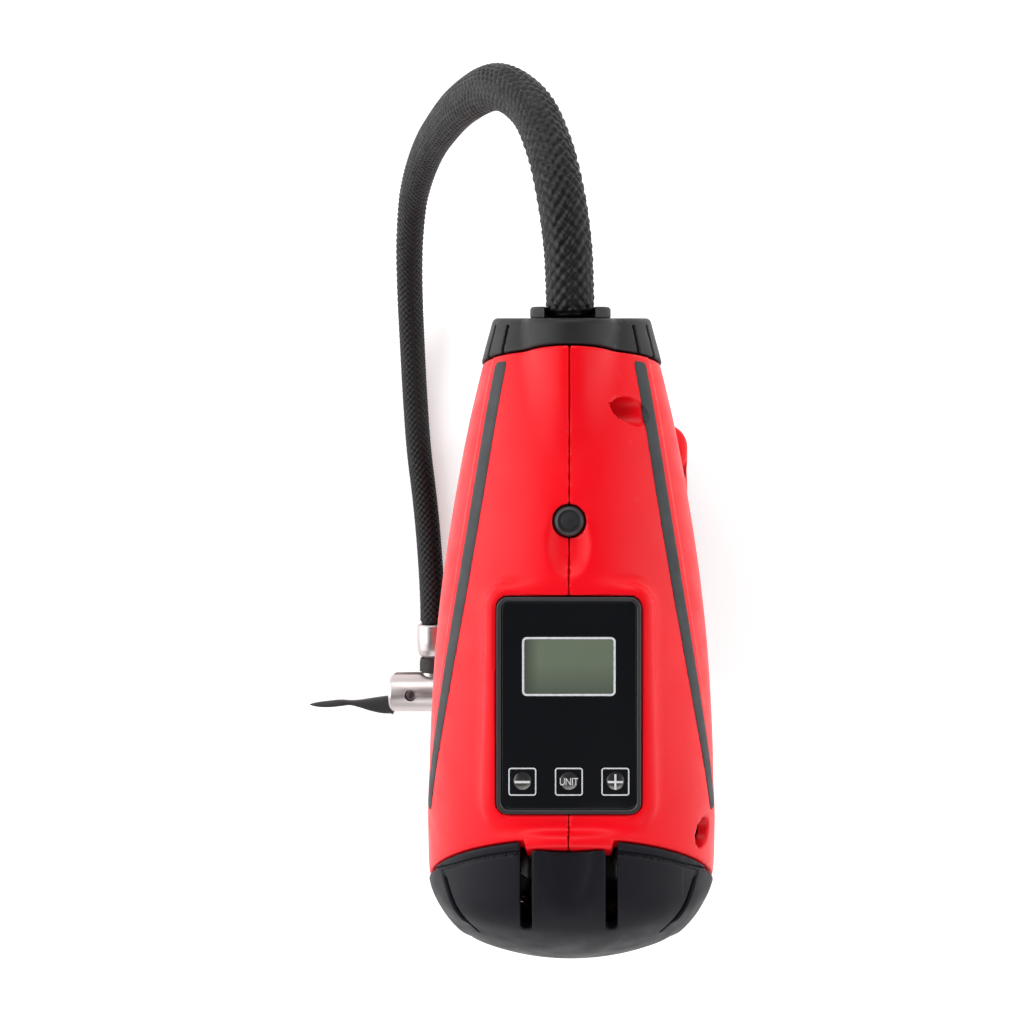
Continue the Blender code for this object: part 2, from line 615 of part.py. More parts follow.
def pump():
    axis = (0, 1, 0)
    bracket = box("pump_bracket", (-13, BRACKET_Y[0], MOTOR_Z - 13), (13, BRACKET_Y[1], GEAR_Z + 8.5), "steel")
    cut(bracket, drum("bracket_motor_hole", 3.2, (0, -20, MOTOR_Z), (0, 0, MOTOR_Z)))
    cut(bracket, drum("bracket_bearing_hole", 6.3, (0, -20, GEAR_Z), (0, 0, GEAR_Z)))
    arm = box("bracket_arm", (-12.6, -11.2, 138.2), (12.6, 16, 141.0))
    join(bracket, arm)
    cut(bracket, drum("bracket_cylinder_hole", BORE_R + 1.7, (0, CYLINDER_Y, 120), (0, CYLINDER_Y, 150)))
    back, front = BRACKET_Y
    bearing_bore = SHAFT_R + GAP
    turned("shaft_bearing", [(bearing_bore, front), (6.0, front), (6.0, back), (bearing_bore, back)],
           (0, 0, GEAR_Z), axis, "steel", closed=True)
    gear("drive_gear", GEAR_TEETH, math.pi / 2, GEAR_Z, GEAR_Y, bearing_bore, "nylon")
    shaft = drum("crankshaft", SHAFT_R, (0, back, GEAR_Z), (0, -1.5, GEAR_Z), "steel", 16)
    join(shaft, drum("crank_web", 7.0, (0, -3.2, GEAR_Z), (0, -0.2, GEAR_Z), sides=20))
    join(shaft, drum("crank_pin", CRANK_PIN_R, (0, -1.5, GEAR_Z - THROW), (0, ROD_Y[0] - 0.4, GEAR_Z - THROW),
                     sides=12))
    place = (0, CYLINDER_Y, 0)
    rod = turned("piston_rod", [(0, 151.2), (8.4, 151.2), (8.4, 149.6), (6.0, 149.6), (6.0, 146.6),
                                (8.4, 146.6), (8.4, 145.0), (0, 145.0)], place, (0, 0, 1), "alloy")
    big_end = GEAR_Z - THROW
    join(rod, box("rod_stem", (-2.4, ROD_Y[0] + 0.5, 150), (2.4, ROD_Y[1] - 0.5, big_end - 3.5)))
    join(rod, drum("rod_eye", 5.2, (0, ROD_Y[0], big_end), (0, ROD_Y[1], big_end), sides=16))
    cut(rod, drum("rod_eye_hole", CRANK_PIN_R + 0.8, (0, 0, big_end), (0, 15, big_end), sides=16))
    turned("piston_seal", [(6.3, 149.3), (8.7, 149.3), (8.7, 146.9), (6.3, 146.9)], place, (0, 0, 1),
           "seal_rubber", closed=True)
    bottom, top = CYLINDER_Z
    outer = [(BORE_R, top), (CYLINDER_R, top)]
    for fin in FIN_TOPS:
        outer += [(CYLINDER_R, fin), (FIN_R, fin), (FIN_R, fin - FIN_THICK), (CYLINDER_R, fin - FIN_THICK)]
    turned("cylinder", outer + [(CYLINDER_R, bottom), (BORE_R, bottom)], place, (0, 0, 1), "alloy",
           closed=True)
    head = turned("cylinder_head", [(0, 141.0), (8.6, 141.0), (8.6, 137.9), (12.2, 137.9), (12.2, 135.6),
                                    (0, 135.6)], place, (0, 0, 1), "alloy")
    join(head, drum("head_outlet", 2.4, (0, 12, 138.2), (0, 24.5, 138.2), sides=12))
    route = [(0, 24.9, 138.2), (0, 28, 138.7), (0, 34, 142.5), (0, 40, 151), (0, 47, 161), (0, 52, 166.2),
             (0, 55.6, 168.6)]
    tube("outlet_pipe", route, 2.4, 14, 2, "black_plastic")
    box("pressure_sensor", (-18, 24, 146), (-9, 34, 153), "black_plastic")


def smooth_route(route, count):
    """Evenly spaced points on the smooth curve through the route's own points."""
    points = [Vector(p) for p in route]
    ends = [points[0] * 2 - points[1]] + points + [points[-1] * 2 - points[-2]]
    fine = []
    for i in range(1, len(ends) - 2):
        a, b, c, d = ends[i - 1:i + 3]
        for step in range(12):
            t = step / 12
            fine.append(0.5 * (2 * b + (c - a) * t + (2 * a - 5 * b + 4 * c - d) * t * t
                               + (3 * b - a - 3 * c + d) * t ** 3))
    fine.append(points[-1])
    total = sum((q - p).length for p, q in zip(fine, fine[1:]))
    made, walked, wanted = [fine[0]], 0.0, total / (count - 1)
    for p, q in zip(fine, fine[1:]):
        length = (q - p).length
        while walked + length >= wanted * len(made) and len(made) < count - 1:
            made.append(p.lerp(q, (wanted * len(made) - walked) / length))
        walked += length
    return made + [fine[-1]]


def tube(name, route, radius, count, resolution, look):
    curve = bpy.data.curves.new(name, "CURVE")
    curve.dimensions = "3D"
    curve.bevel_depth = radius * MM
    curve.bevel_resolution = resolution
    curve.use_fill_caps = True
    spline = curve.splines.new("POLY")
    points = smooth_route(route, count)
    spline.points.add(len(points) - 1)
    for slot, point in zip(spline.points, points):
        slot.co = (*(point * MM), 1)
    return add(name, curve, look)


# ---------------------------------------------------------------- hose and chuck

def hose_set(outlet, along):
    face = outlet + along * GAP
    turned("hose_gland", [(2.5, 2.1), (7.9, 2.1), (8.5, 1.6), (8.5, 0), (6.0, 0), (6.0, -9.0), (4.0, -9.0),
                          (4.0, -13.0), (2.5, -13.0)], face, along, "black_plastic", closed=True)
    tube("air_hose", HOSE_ROUTE, HOSE_D / 2, HOSE_POINTS, 3, "braid")
    back, front = FERRULE_Y
    turned("hose_ferrule", [(0, front), (6.0, front), (6.4, front - 0.8), (6.4, front - 8), (5.6, front - 9),
                            (5.6, back + 2), (5.0, back), (0, back)], (FERRULE_X, 0, CHUCK_Z), (0, 1, 0),
           "nickel")
    low, high = CHUCK_X
    body = turned("chuck_body", [(0, high - 15), (CHUCK_BORE_R, high - 15), (CHUCK_BORE_R, high), (7.2, high),
                                 (CHUCK_R, high - 0.9), (CHUCK_R, low + 1.2), (6.8, low), (0, low)],
                  (0, CHUCK_Y, CHUCK_Z), (1, 0, 0), "nickel")
    join(body, drum("chuck_neck", 4.9, (FERRULE_X, CHUCK_Y + 6, CHUCK_Z), (FERRULE_X, back - GAP, CHUCK_Z)))
    cut(body, box("lever_slot", (low - 5, CHUCK_Y - 12, CHUCK_Z - LEVER_SLOT_HALF),
                  (LEVER_PIVOT_X + LEVER_EYE_R + 1, CHUCK_Y + 12, CHUCK_Z + LEVER_SLOT_HALF)))
    cut(body, drum("pin_hole", LEVER_HOLE_R, (LEVER_PIVOT_X, CHUCK_Y, -5), (LEVER_PIVOT_X, CHUCK_Y, 25), sides=16))
    turned("chuck_seal", [(1.6, high - 10), (3.9, high - 10), (3.9, high - 14.7), (1.6, high - 14.7)],
           (0, CHUCK_Y, CHUCK_Z), (1, 0, 0), "seal_rubber", 16, True)
    drum("chuck_pin", LEVER_PIN_R, (LEVER_PIVOT_X, CHUCK_Y, 0.6), (LEVER_PIVOT_X, CHUCK_Y, 15.4), "steel", 16)
    lever()


def lever():
    """Cam lever: an eye round the pin and a tapering thumb blade, thinner towards its tip."""
    eye = [(LEVER_EYE_R * math.cos(a), LEVER_EYE_R * math.sin(a)) for a in
           [math.radians(-145 + 290 * i / 12) for i in range(13)]]
    blade = [(-8.5, -1.3), (-18, -2.7), (-26.6, -3.7), (-30.6, -3.3), (-36.9, -4.1), (-43.5, -5.1),
             (-43.5, -5.6), (-36.9, -6.6), (-30.6, -6.0), (-26.6, -5.4), (-20.2, -7.3), (-13, -8.9),
             (-8.6, -9.0), (-8.6, -5.1)]
    made = extruded("lever_outline", eye + blade, LEVER_THICK, (LEVER_PIVOT_X, CHUCK_Y, CHUCK_Z), "black_plastic")
    made = as_mesh(made, "chuck_lever", "black_plastic")
    cut(made, drum("lever_eye_hole", LEVER_HOLE_R, (LEVER_PIVOT_X, CHUCK_Y, -5), (LEVER_PIVOT_X, CHUCK_Y, 25),
                   sides=16))


# ---------------------------------------------------------------- battery

def battery_ring(z, grow, radius=8.0):
    return rounded_ring(z, FOOT_CENTRE_Y, FOOT_HALF[1] + grow, FOOT_HALF[0] + grow, radius)


def battery():
    lower = loft("battery_lower_case", [battery_ring(0, -2.0), battery_ring(2.0, -0.4),
                                        battery_ring(CASE_SPLIT - GAP, 0)], "black_plastic")
    cut(lower, loft("lower_case_void", [battery_ring(2.2, -2.4, 5.6), battery_ring(20, -2.4, 5.6)]))
    upper = loft("battery_upper_case", [battery_ring(CASE_SPLIT, 0), battery_ring(27.8, 0),
                                        battery_ring(BATTERY_TOP, -1.2)], "black_plastic")
    front = FOOT_CENTRE_Y + FOOT_HALF[1]
    join(upper, box("tower_neck", (-RAIL_NECK_X, -31.5, 28), (RAIL_NECK_X, front - 3, 36.5)),
         box("tower_head", (-RAIL_HEAD_X, -31.5, RAIL_NECK_TOP + GAP + 0.4),
             (RAIL_HEAD_X, front - 3, RAIL_HEAD_TOP)))
    cut(upper, loft("upper_case_void", [battery_ring(10, -2.4, 5.6), battery_ring(27.2, -2.4, 5.6)]))
    cut(upper, box("tower_void", (-20, -26, 25), (20, 52, 40.6)))
    for index in range(3):
        x = (index - 1) * 9.0
        cut(upper, box("contact_slot_%d" % index, (x - 0.9, -40, 34.5), (x + 0.9, -23.5, 41.5)))
    cut(upper, box("release_window", (-12.4, 50, 16.6), (12.4, 70, 26.4)))
    blades = [box("blade_%d" % i, ((i - 1) * 9 - 0.4, -34, 36), ((i - 1) * 9 + 0.4, -25.5, 40))
              for i in range(3)]
    join(box("terminal_block", (-18, -40.6, 31.5), (18, -32, 42.6), "black_plastic"), *blades)
    release = box("battery_release", (-12, 53.4, 17.0), (12, 61.4, 26.0), "red_shell")
    cut(release, box("release_scoop", (-9, 60.6, 18.6), (9, 64, 24.4)))
    box("battery_board", (-30, -40, 22.0), (30, 46, 23.6), "circuit")
    middle = (CELL_COUNT - 1) / 2
    for index in range(CELL_COUNT):
        y = FOOT_CENTRE_Y + (index - middle) * CELL_PITCH
        drum("cell_%d" % (index + 1), CELL_R, (-CELL_LENGTH / 2, y, 11.8), (CELL_LENGTH / 2, y, 11.8),
             "cell_wrap", 16)


def screws():
    """Pan-head screws seated in the right half's wells, threading into the left half."""
    for name, (y, z) in SCREWS.items():
        turned(name, [(0, 2.3), (2.0, 2.3), (2.7, 1.6), (2.7, 0), (1.4, 0), (1.4, -13.9), (0, -13.9)],
               (SCREW_SEAT_X + GAP, y, z), (1, 0, 0), "steel", 12)


def build():
    forms = shared_forms()
    casing(forms)
    outlet, along = end_covers(forms)
    inlays()
    display()
    trigger_group()
    motor()
    pump()
    hose_set(outlet, along)
    battery()
    screws()


build()
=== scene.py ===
"""Looks of the portable cordless tire inflator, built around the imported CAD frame.

The moulded pieces are signed-distance fields in millimetres, meshed at a fine pitch; turned, flat and
woven pieces are built as their own grids. Everything is placed in the frame's own coordinates.
"""
import json
import math
from functools import cache

import bmesh
import bpy
import numpy as np
from mathutils import Matrix, Vector


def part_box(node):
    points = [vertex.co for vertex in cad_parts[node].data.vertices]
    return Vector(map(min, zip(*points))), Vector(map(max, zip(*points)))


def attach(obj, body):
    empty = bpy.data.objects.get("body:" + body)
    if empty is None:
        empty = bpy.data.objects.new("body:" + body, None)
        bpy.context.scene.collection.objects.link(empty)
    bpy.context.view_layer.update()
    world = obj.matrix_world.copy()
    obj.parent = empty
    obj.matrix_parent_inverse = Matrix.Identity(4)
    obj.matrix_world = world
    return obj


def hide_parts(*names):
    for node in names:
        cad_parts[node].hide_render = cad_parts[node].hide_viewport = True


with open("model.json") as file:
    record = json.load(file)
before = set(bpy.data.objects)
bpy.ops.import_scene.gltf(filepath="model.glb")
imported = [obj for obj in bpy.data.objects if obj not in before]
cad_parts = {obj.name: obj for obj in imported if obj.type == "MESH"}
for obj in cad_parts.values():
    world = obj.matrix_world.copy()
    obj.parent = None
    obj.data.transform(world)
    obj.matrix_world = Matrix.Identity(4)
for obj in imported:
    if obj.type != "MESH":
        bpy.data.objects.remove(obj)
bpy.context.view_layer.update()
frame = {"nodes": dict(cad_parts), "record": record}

MM = 0.001
WELD = 0.000001                             # merge distance for points that coincide, metres
WALL = 2.4                                  # moulded wall of the rear cap and the casing's opened end
CELL = 0.5           # mesh pitch of the casing
FINE = 0.33          # mesh pitch of the smaller mouldings
SHARP = math.radians(35)                    # edges steeper than this stay crisp

# Camera, in metres: high above the tool, looking straight down.
CAMERA_AT = (0.0037, 0.0278, 0.348)
LENS_MM, LENS_SHIFT = 28.72, -0.0742

# Casing, in millimetres: barrel radii along Y, and handle stations along Z with the centre in Y,
# half depth, half width and corner radius.
AXIS_Z = 160.0
NOSE_Y, NOSE_FACE_Y = 75.0, 72.4
NOSE_TILT = math.radians(13.3)
COLLAR_SEAM_Y = 61.45
CAP_TOP_Y, CAP_TOP_Z = -35.2, 191.3
CAP_TILT = math.radians(35.9)
TAIL_BALL_R = 60.0
TAIL_BALL = (0, -15.0, 144.6)
OUTLET_Z, FAIRING_R = 175.2, 9.5
BARREL = [(78, 16.6), (72, 17.8), (62, 20.4), (48, 23.7), (31.5, 26.8), (16, 29.2), (0, 31.0),
          (-15, 32.0), (-29.3, 32.5), (-46, 32.4), (-53, 31.9), (-57.5, 30.0), (-63, 27.1),
          (-70.6, 22.6), (-80, 17.0)]
HANDLE = [(150, -8, 26, 19, 17), (128, -9, 24.5, 18, 16), (115, -11, 23.5, 17.5, 15.5),
          (100, -13.5, 22.5, 17.2, 15.5), (85, -16, 22.5, 17.2, 15.5), (72, -17, 24, 18.5, 16),
          (64, -14, 29, 23, 16), (58, -6, 40, 32, 13), (53, 1, 50, 38, 10), (49, 4, 55, 40, 8.5),
          (46, 4.5, 55.5, 40.2, 8), (30, 4.5, 55.5, 40.2, 8), (20, 4.5, 55.5, 40.2, 8)]

# Panel, keys, lamp, stripes, trigger, foot and screw wells.
PAD_TOP = 190.0
PANEL_Y, PANEL_HALF = -9.7, (14.0, 21.0)
LCD_Y, LCD_HALF = -2.1, (9.05, 5.7)
KEY_Y, KEY_PITCH = -24.4, 9.0
LIGHT_Y, LAMP_Z = 26.0, 151.0
STRIPE_ENDS = (59.6, -36.2)
STRIPE_HALF = 1.85
STRIPE_NOSE_ANGLE, STRIPE_FALL = 45.5, 26.0
TRIGGER_Z = 112.25
FOOT_Y, FOOT_HALF, FOOT_CORNER = 4.5, (40.2, 55.5), 8.0
WELL_R, WELL_FLOOR = 3.0, 4.0
WELL_FLATTEN = 0.76                         # the nose well is shallower than it is long
WELLS = ((48.5, 179.5), (-39.3, 176.6), (-28.7, 92.3), (43.0, 49.4))

# Chuck, and the hose's centre line from the nose to it.
CHUCK_Y, CHUCK_Z, FERRULE_X = -46.9, 8.0, -60.9
LEVER_PIVOT = (-68.5, CHUCK_Y, 0)
EYE_R = 2.35
EYE_HOLE = [(0, -5), (EYE_R, -5), (EYE_R, 25), (0, 25)]
HOSE_D = 10.4
HOSE_ROUTE = [(0, 69.2, 175.3), (-0.2, 77.5, 177.1), (-0.6, 84, 178), (-2.0, 94, 177.5),
              (-4.7, 106, 173.5), (-9.4, 118.5, 165.5), (-18.3, 130.0, 151.5), (-30.0, 137.6, 128),
              (-41, 143.2, 101), (-48.8, 145.4, 81), (-56, 144.0, 62), (-61.2, 140.0, 46.5),
              (-66.0, 129.5, 29), (-68.6, 113.9, 15.6), (-69.2, 94.3, 8.2), (-68.7, 74.8, 5.5),
              (-67.2, 54, 5.3), (-64.9, 34.5, 5.3), (-63.4, 20, 5.5), (-61.9, 3, 6.6), (-61.1, -9, 7.7),
              (-60.9, -18.3, 8.0)]


# ---------------------------------------------------------------- fields

def curve_table(points):
    """Smooth curve through (position, value...) points, as sorted positions and values for np.interp."""
    rows = [np.array(row, float) for row in sorted(points)]
    rows = [2 * rows[0] - rows[1]] + rows + [2 * rows[-1] - rows[-2]]
    made = []
    for a, b, c, d in zip(rows, rows[1:], rows[2:], rows[3:]):
        slope_b = (c - a) / (c[0] - a[0]) * (c[0] - b[0])
        slope_c = (d - b) / (d[0] - b[0]) * (c[0] - b[0])
        for step in range(8):
            t = step / 8
            made.append((2 * t ** 3 - 3 * t ** 2 + 1) * b + (t ** 3 - 2 * t ** 2 + t) * slope_b
                        + (3 * t ** 2 - 2 * t ** 3) * c + (t ** 3 - t ** 2) * slope_c)
    made.append(rows[-2])
    return np.array(made)


BARREL_CURVE = curve_table(BARREL)
HANDLE_CURVE = curve_table(HANDLE)


def barrel_radius(y):
    return np.interp(y, BARREL_CURVE[:, 0], BARREL_CURVE[:, 1])


def smooth_min(a, b, k):
    h = np.maximum(k - np.abs(a - b), 0.0) / k
    return np.minimum(a, b) - h * h * k * 0.25


def smooth_max(a, b, k):
    return -smooth_min(-a, -b, k)


def carve(body, hollow, k=0.3):
    return smooth_max(body, -hollow, k)


def step_up(value, low, high):
    t = np.clip((value - low) / (high - low), 0.0, 1.0)
    return t * t * (3 - 2 * t)


def plate(u, v, half_u, half_v, radius):
    """Rounded rectangle in a plane, negative inside."""
    qu, qv = np.abs(u) - half_u + radius, np.abs(v) - half_v + radius
    return np.minimum(np.maximum(qu, qv), 0) + np.hypot(np.maximum(qu, 0), np.maximum(qv, 0)) - radius


def barrel_field(x, y, z, inset=0.0, corner=3.5):
    """Barrel of revolution with its tail rounded off by a large ball."""
    radius = barrel_radius(y)
    slope = (barrel_radius(y + 0.5) - barrel_radius(y - 0.5))
    side = (np.hypot(x, z - AXIS_Z) - radius) / np.sqrt(1 + slope * slope)
    ball = np.sqrt(x * x + (y - TAIL_BALL[1]) ** 2 + (z - TAIL_BALL[2]) ** 2) - TAIL_BALL_R
    return smooth_max(side, np.where(y < -40, ball, -40.0), corner) + inset


def handle_field(x, y, z):
    centre, half_y, half_x, corner = (np.interp(z, HANDLE_CURVE[:, 0], HANDLE_CURVE[:, i])
                                      for i in (1, 2, 3, 4))
    return plate(x, y - centre, half_x, half_y, corner)


def fairing_field(x, y, z):
    return np.maximum(np.hypot(x, z - OUTLET_Z) - FAIRING_R, 31.0 - y)


def cap_side(x, y, z):
    """Distance ahead of the slanted seam of the rear cap, with the short lip over the tongue."""
    ahead = ((y - CAP_TOP_Y) - (z - CAP_TOP_Z) * math.tan(CAP_TILT)) * math.cos(CAP_TILT)
    lip = 1.5 * (1 - step_up(np.abs(x), 8.2, 8.7)) * step_up(z, 176, 178)
    return ahead + lip


def around(x, z):
    """Angle above the level plane through the barrel's axis, in degrees, the same on both sides."""
    return np.degrees(np.arctan2(z - AXIS_Z, np.abs(x)))


def stripe_angle(y):
    share = np.clip((60.0 - y) / 96.0, 0.0, 1.3)
    return STRIPE_NOSE_ANGLE - STRIPE_FALL * share ** 2.7


def below_stripe(x, y, z):
    """Distance along the skin from the stripe's middle, growing downwards."""
    return np.radians(stripe_angle(y) - around(x, z)) * barrel_radius(y)


def well(y, z, at_y, at_z, radius):
    return np.hypot(y - at_y, z - at_z) - radius


def casing_field(x, y, z):
    """Both halves of the clamshell as one solid, before they are parted at the seam."""
    body = barrel_field(x, y, z)
    skin = body
    outside = below_stripe(x, y, z)
    flat = step_up(outside, 3.4, 4.4) * (1 - step_up(outside, 24, 30)) * step_up(y, -44, -34)
    body = body + 0.35 * flat
    body = smooth_min(body, fairing_field(x, y, z), 1.6)
    pad_plan = plate(x, y - PANEL_Y, 16.6, 23.4, 4.5)
    pad = smooth_max(pad_plan, np.maximum(z - PAD_TOP, 172 - z), 2.6)
    body = smooth_min(body, pad, 2.4)
    body = carve(body, smooth_max(pad_plan - 0.8, PAD_TOP - z, 1.6), 1.8)
    handle = np.maximum(handle_field(x, y, z), z - 150)
    body = smooth_min(body, handle, 11.0)
    body = smooth_max(body, 30.1 - z, 1.2)
    body = smooth_max(body, y - COLLAR_SEAM_Y + 0.3, 0.5)
    body = smooth_max(body, 0.15 - cap_side(x, y, z), 0.4)
    body = carve(body, np.maximum(plate(x, y - PANEL_Y, 14.25, 21.25, 2.5), 187.7 - z), 0.35)
    dish = (np.sqrt((x / 5.4) ** 2 + ((y - 23.6) / 8.4) ** 2 + ((z - 189.9) / 3.2) ** 2) - 1) * 3.2
    body = carve(body, dish, 0.5)
    body = carve(body, np.maximum(np.hypot(x, y - LIGHT_Y) - 3.35, 183.5 - z), 0.35)
    ends = np.maximum(y - STRIPE_ENDS[0] - 0.2, STRIPE_ENDS[1] - 0.4 - y)
    groove = np.maximum(np.maximum(np.abs(outside) - STRIPE_HALF + 0.35, ends + 0.7), -0.8 - skin)
    body = carve(body, groove, 0.25)
    for number, (at_y, at_z) in enumerate(WELLS):
        squash = WELL_FLATTEN if number == 0 else 1.0
        hollow = well(y, at_z + (z - at_z) / squash, at_y, at_z, WELL_R)
        body = carve(body, np.maximum(hollow, WELL_FLOOR - x), 0.45)
    slot = np.maximum(plate(x, z - TRIGGER_Z, 6.35, 12.45, 1.2), -1.6 - y)
    body = carve(body, slot, 0.5)
    for low, high, half, back in ((20, 37, 23.3, -41.0), (35.6, 43.3, 27.3, -42.0)):
        channel = np.maximum(np.maximum(low - z, z - high), np.maximum(np.abs(x) - half, back - y))
        body = carve(body, channel, 0.3)
    waist = np.abs(z - 39.0) - 0.45
    body = carve(body, np.maximum(waist, -0.6 - handle_field(x, y, z)), 0.5)
    return carve(body, np.maximum(np.maximum(skin + WALL, y + 31.0), z - 186.5), 0.3)


def left_casing(x, y, z):
    return smooth_max(casing_field(x, y, z), x + 0.07, 0.12)


def right_casing(x, y, z):
    return smooth_max(casing_field(x, y, z), 0.07 - x, 0.12)


def collar_field(x, y, z):
    body = smooth_min(barrel_field(x, y, z), fairing_field(x, y, z), 1.2) - 0.12
    face = (y - NOSE_FACE_Y) * math.cos(NOSE_TILT) + (z - AXIS_Z) * math.sin(NOSE_TILT)
    body = smooth_max(body, smooth_max(face, y - NOSE_Y, 0.6), 1.1)
    for angle in (45.0, 28.0, -8.0, -30.0):
        across = np.radians(around(x, z) - angle) * barrel_radius(y)
        rib = np.maximum(np.abs(across) - 0.42, face + 1.5)
        body = carve(body, np.maximum(rib, -0.7 - barrel_field(x, y, z)), 0.3)
    along_z = OUTLET_Z + (y - 68.8) * math.tan(NOSE_TILT)
    body = carve(body, np.maximum(np.hypot(x, (z - along_z) * math.cos(NOSE_TILT)) - 6.4, 55 - y), 0.4)
    body = carve(body, np.maximum(np.hypot(x, z - LAMP_Z) - 4.65, 65 - y), 0.4)
    return smooth_max(body, COLLAR_SEAM_Y + 0.12 - y, 0.5)


def tail_skin(x, y, z):
    """Outside of the rear cap, with a raised bumper on each side behind a slanting groove."""
    side = barrel_field(x, y, z)
    behind = -cap_side(x, y, z)
    edge = 38.5 + 1.15 * np.clip(-48.0 - y, -6, 14)
    across = np.radians(edge - np.abs(around(x, z))) * barrel_radius(y)
    bumper = step_up(across, 0.3, 0.9) * (1 - step_up(behind, 10.6, 11.4)) * step_up(behind, 0.4, 1.0)
    groove = np.maximum(np.abs(across) - 0.4, np.maximum(-57.6 - y, y + 47.4))
    return carve(side - 0.35 * bumper, np.maximum(groove, -0.8 - side), 0.35)


def cap_field(x, y, z):
    body = tail_skin(x, y, z)
    side = barrel_field(x, y, z)
    seam = cap_side(x, y, z)
    line_at = 0.5 + 1.25 * step_up(z, 171, 184)
    line = np.maximum(np.maximum(np.abs(seam + line_at) - 0.32, 9.6 - np.abs(x)), -0.55 - side)
    body = carve(body, line, 0.25)
    dish = (np.sqrt((x / 5.2) ** 2 + ((y + 37.0) / 11.0) ** 2 + ((z - 192.6) / 1.6) ** 2) - 1) * 1.6
    body = carve(body, dish, 0.7)
    body = smooth_max(body, seam + 0.15, 0.45)
    inner = barrel_field(x, y, z, WALL, 4.0)
    body = carve(body, inner, 0.4)
    slot = np.maximum(plate(np.abs(x) - 8.25, y + 38.3, 1.15, 15.0, 1.1), 172 - z)
    return carve(body, slot, 0.45)


def cover_field(x, y, z, side):
    """Soft grip cover: a skin over the handle's back and side, with shallow ribs to hold by."""
    handle = handle_field(x, y, z)
    ribs = step_up(np.cos((z - 94 + 0.45 * (y + 14)) * 2 * math.pi / 5.2), 0.35, 0.9)
    zone = step_up(z, 74, 77) * (1 - step_up(z, 111, 114)) * (1 - step_up(y, -12, -9))
    body = np.abs(handle - 0.78) - 0.56 + 0.32 * ribs * zone * step_up(handle, 0.6, 0.9)
    edge = smooth_max(np.abs(z - 94) - 26.6, y + 4.6 - 0.10 * (z - 94), 6.0)
    body = smooth_max(body, edge, 0.7)
    body = carve(body, well(y, z, *WELLS[2], 3.9), 0.4)
    return smooth_max(body, 0.12 - side * x, 0.25)


def trigger_field(x, y, z):
    front = 19.3 + ((z - 111.5) / 12.5) ** 2 * 2.9
    ribs = 0.35 * step_up(np.cos((z - 112) * 2 * math.pi / 3.4), 0.2, 0.9) * (np.abs(z - 112) < 8.6)
    crown = 0.035 * x * x
    body = smooth_max((y - front + crown + ribs) * 0.9, np.abs(z - TRIGGER_Z) - 12.0, 2.2)
    body = smooth_max(body, np.abs(x) - 6.0, 2.0)
    return np.maximum(body, 4.2 - y)


def pack_plan(x, y, z, grow=0.0):
    return plate(x, y - FOOT_Y, FOOT_HALF[0] + grow, FOOT_HALF[1] + grow, FOOT_CORNER)


def side_ribs(x, y, low, high, z, pitch=4.6):
    """Upright grip grooves along both sides of the pack."""
    wave = step_up(np.cos((y - FOOT_Y) * 2 * math.pi / pitch), 0.1, 0.8)
    zone = step_up(z, low, low + 1.2) * (1 - step_up(z, high - 1.2, high))
    return 0.55 * wave * zone * (np.abs(y - FOOT_Y) < 30) * step_up(np.abs(x), 36, 38)


def lower_case(x, y, z):
    body = pack_plan(x, y, z) + side_ribs(x, y, 3.0, 13.0, z)
    body = smooth_max(body, -z, 4.0)
    body = smooth_max(body, z - 13.85, 0.7)
    for foot_x in (-28, 28):
        for foot_y in (-38, 47):
            body = carve(body, np.maximum(np.hypot(x - foot_x, y - foot_y) - 3.0, z - 4.0), 0.4)
    return body


def upper_case(x, y, z):
    body = pack_plan(x, y, z, -0.02) + side_ribs(x, y, 15.0, 26.0, z)
    body = smooth_max(body, z - 29.6, 2.2)
    body = smooth_max(body, 14.25 - z, 0.7)
    window = np.maximum(plate(x, z - 21.5, 12.3, 4.8, 1.6), 52.0 - y)
    body = carve(body, window, 0.6)
    neck = np.maximum(np.abs(x) - 23.0, np.abs(z - 30) - 7)
    head = np.maximum(np.abs(x) - 27.0, np.abs(z - 39.65) - 3.35)
    tower = smooth_max(np.minimum(neck, head), np.abs(y - 12.75) - 44.25, 0.8)
    body = smooth_min(body, tower, 0.6)
    for at_x in (-9, 0, 9):
        body = carve(body, np.maximum(plate(x - at_x, z - 38.0, 0.9, 3.5, 0.4), y + 23.5), 0.3)
    return body


def release_field(x, y, z):
    body = smooth_max(plate(x, z - 21.5, 11.95, 4.45, 1.4), y - 61.3 + 0.004 * x * x, 1.2)
    scoop = (np.sqrt((x / 10) ** 2 + ((y - 62.2) / 2.2) ** 2 + ((z - 21.8) / 3.2) ** 2) - 1) * 2.2
    return np.maximum(carve(body, scoop, 0.5), 53.4 - y)


# ---------------------------------------------------------------- meshing

def corner_shift(index):
    return index & 1, (index >> 1) & 1, (index >> 2) & 1


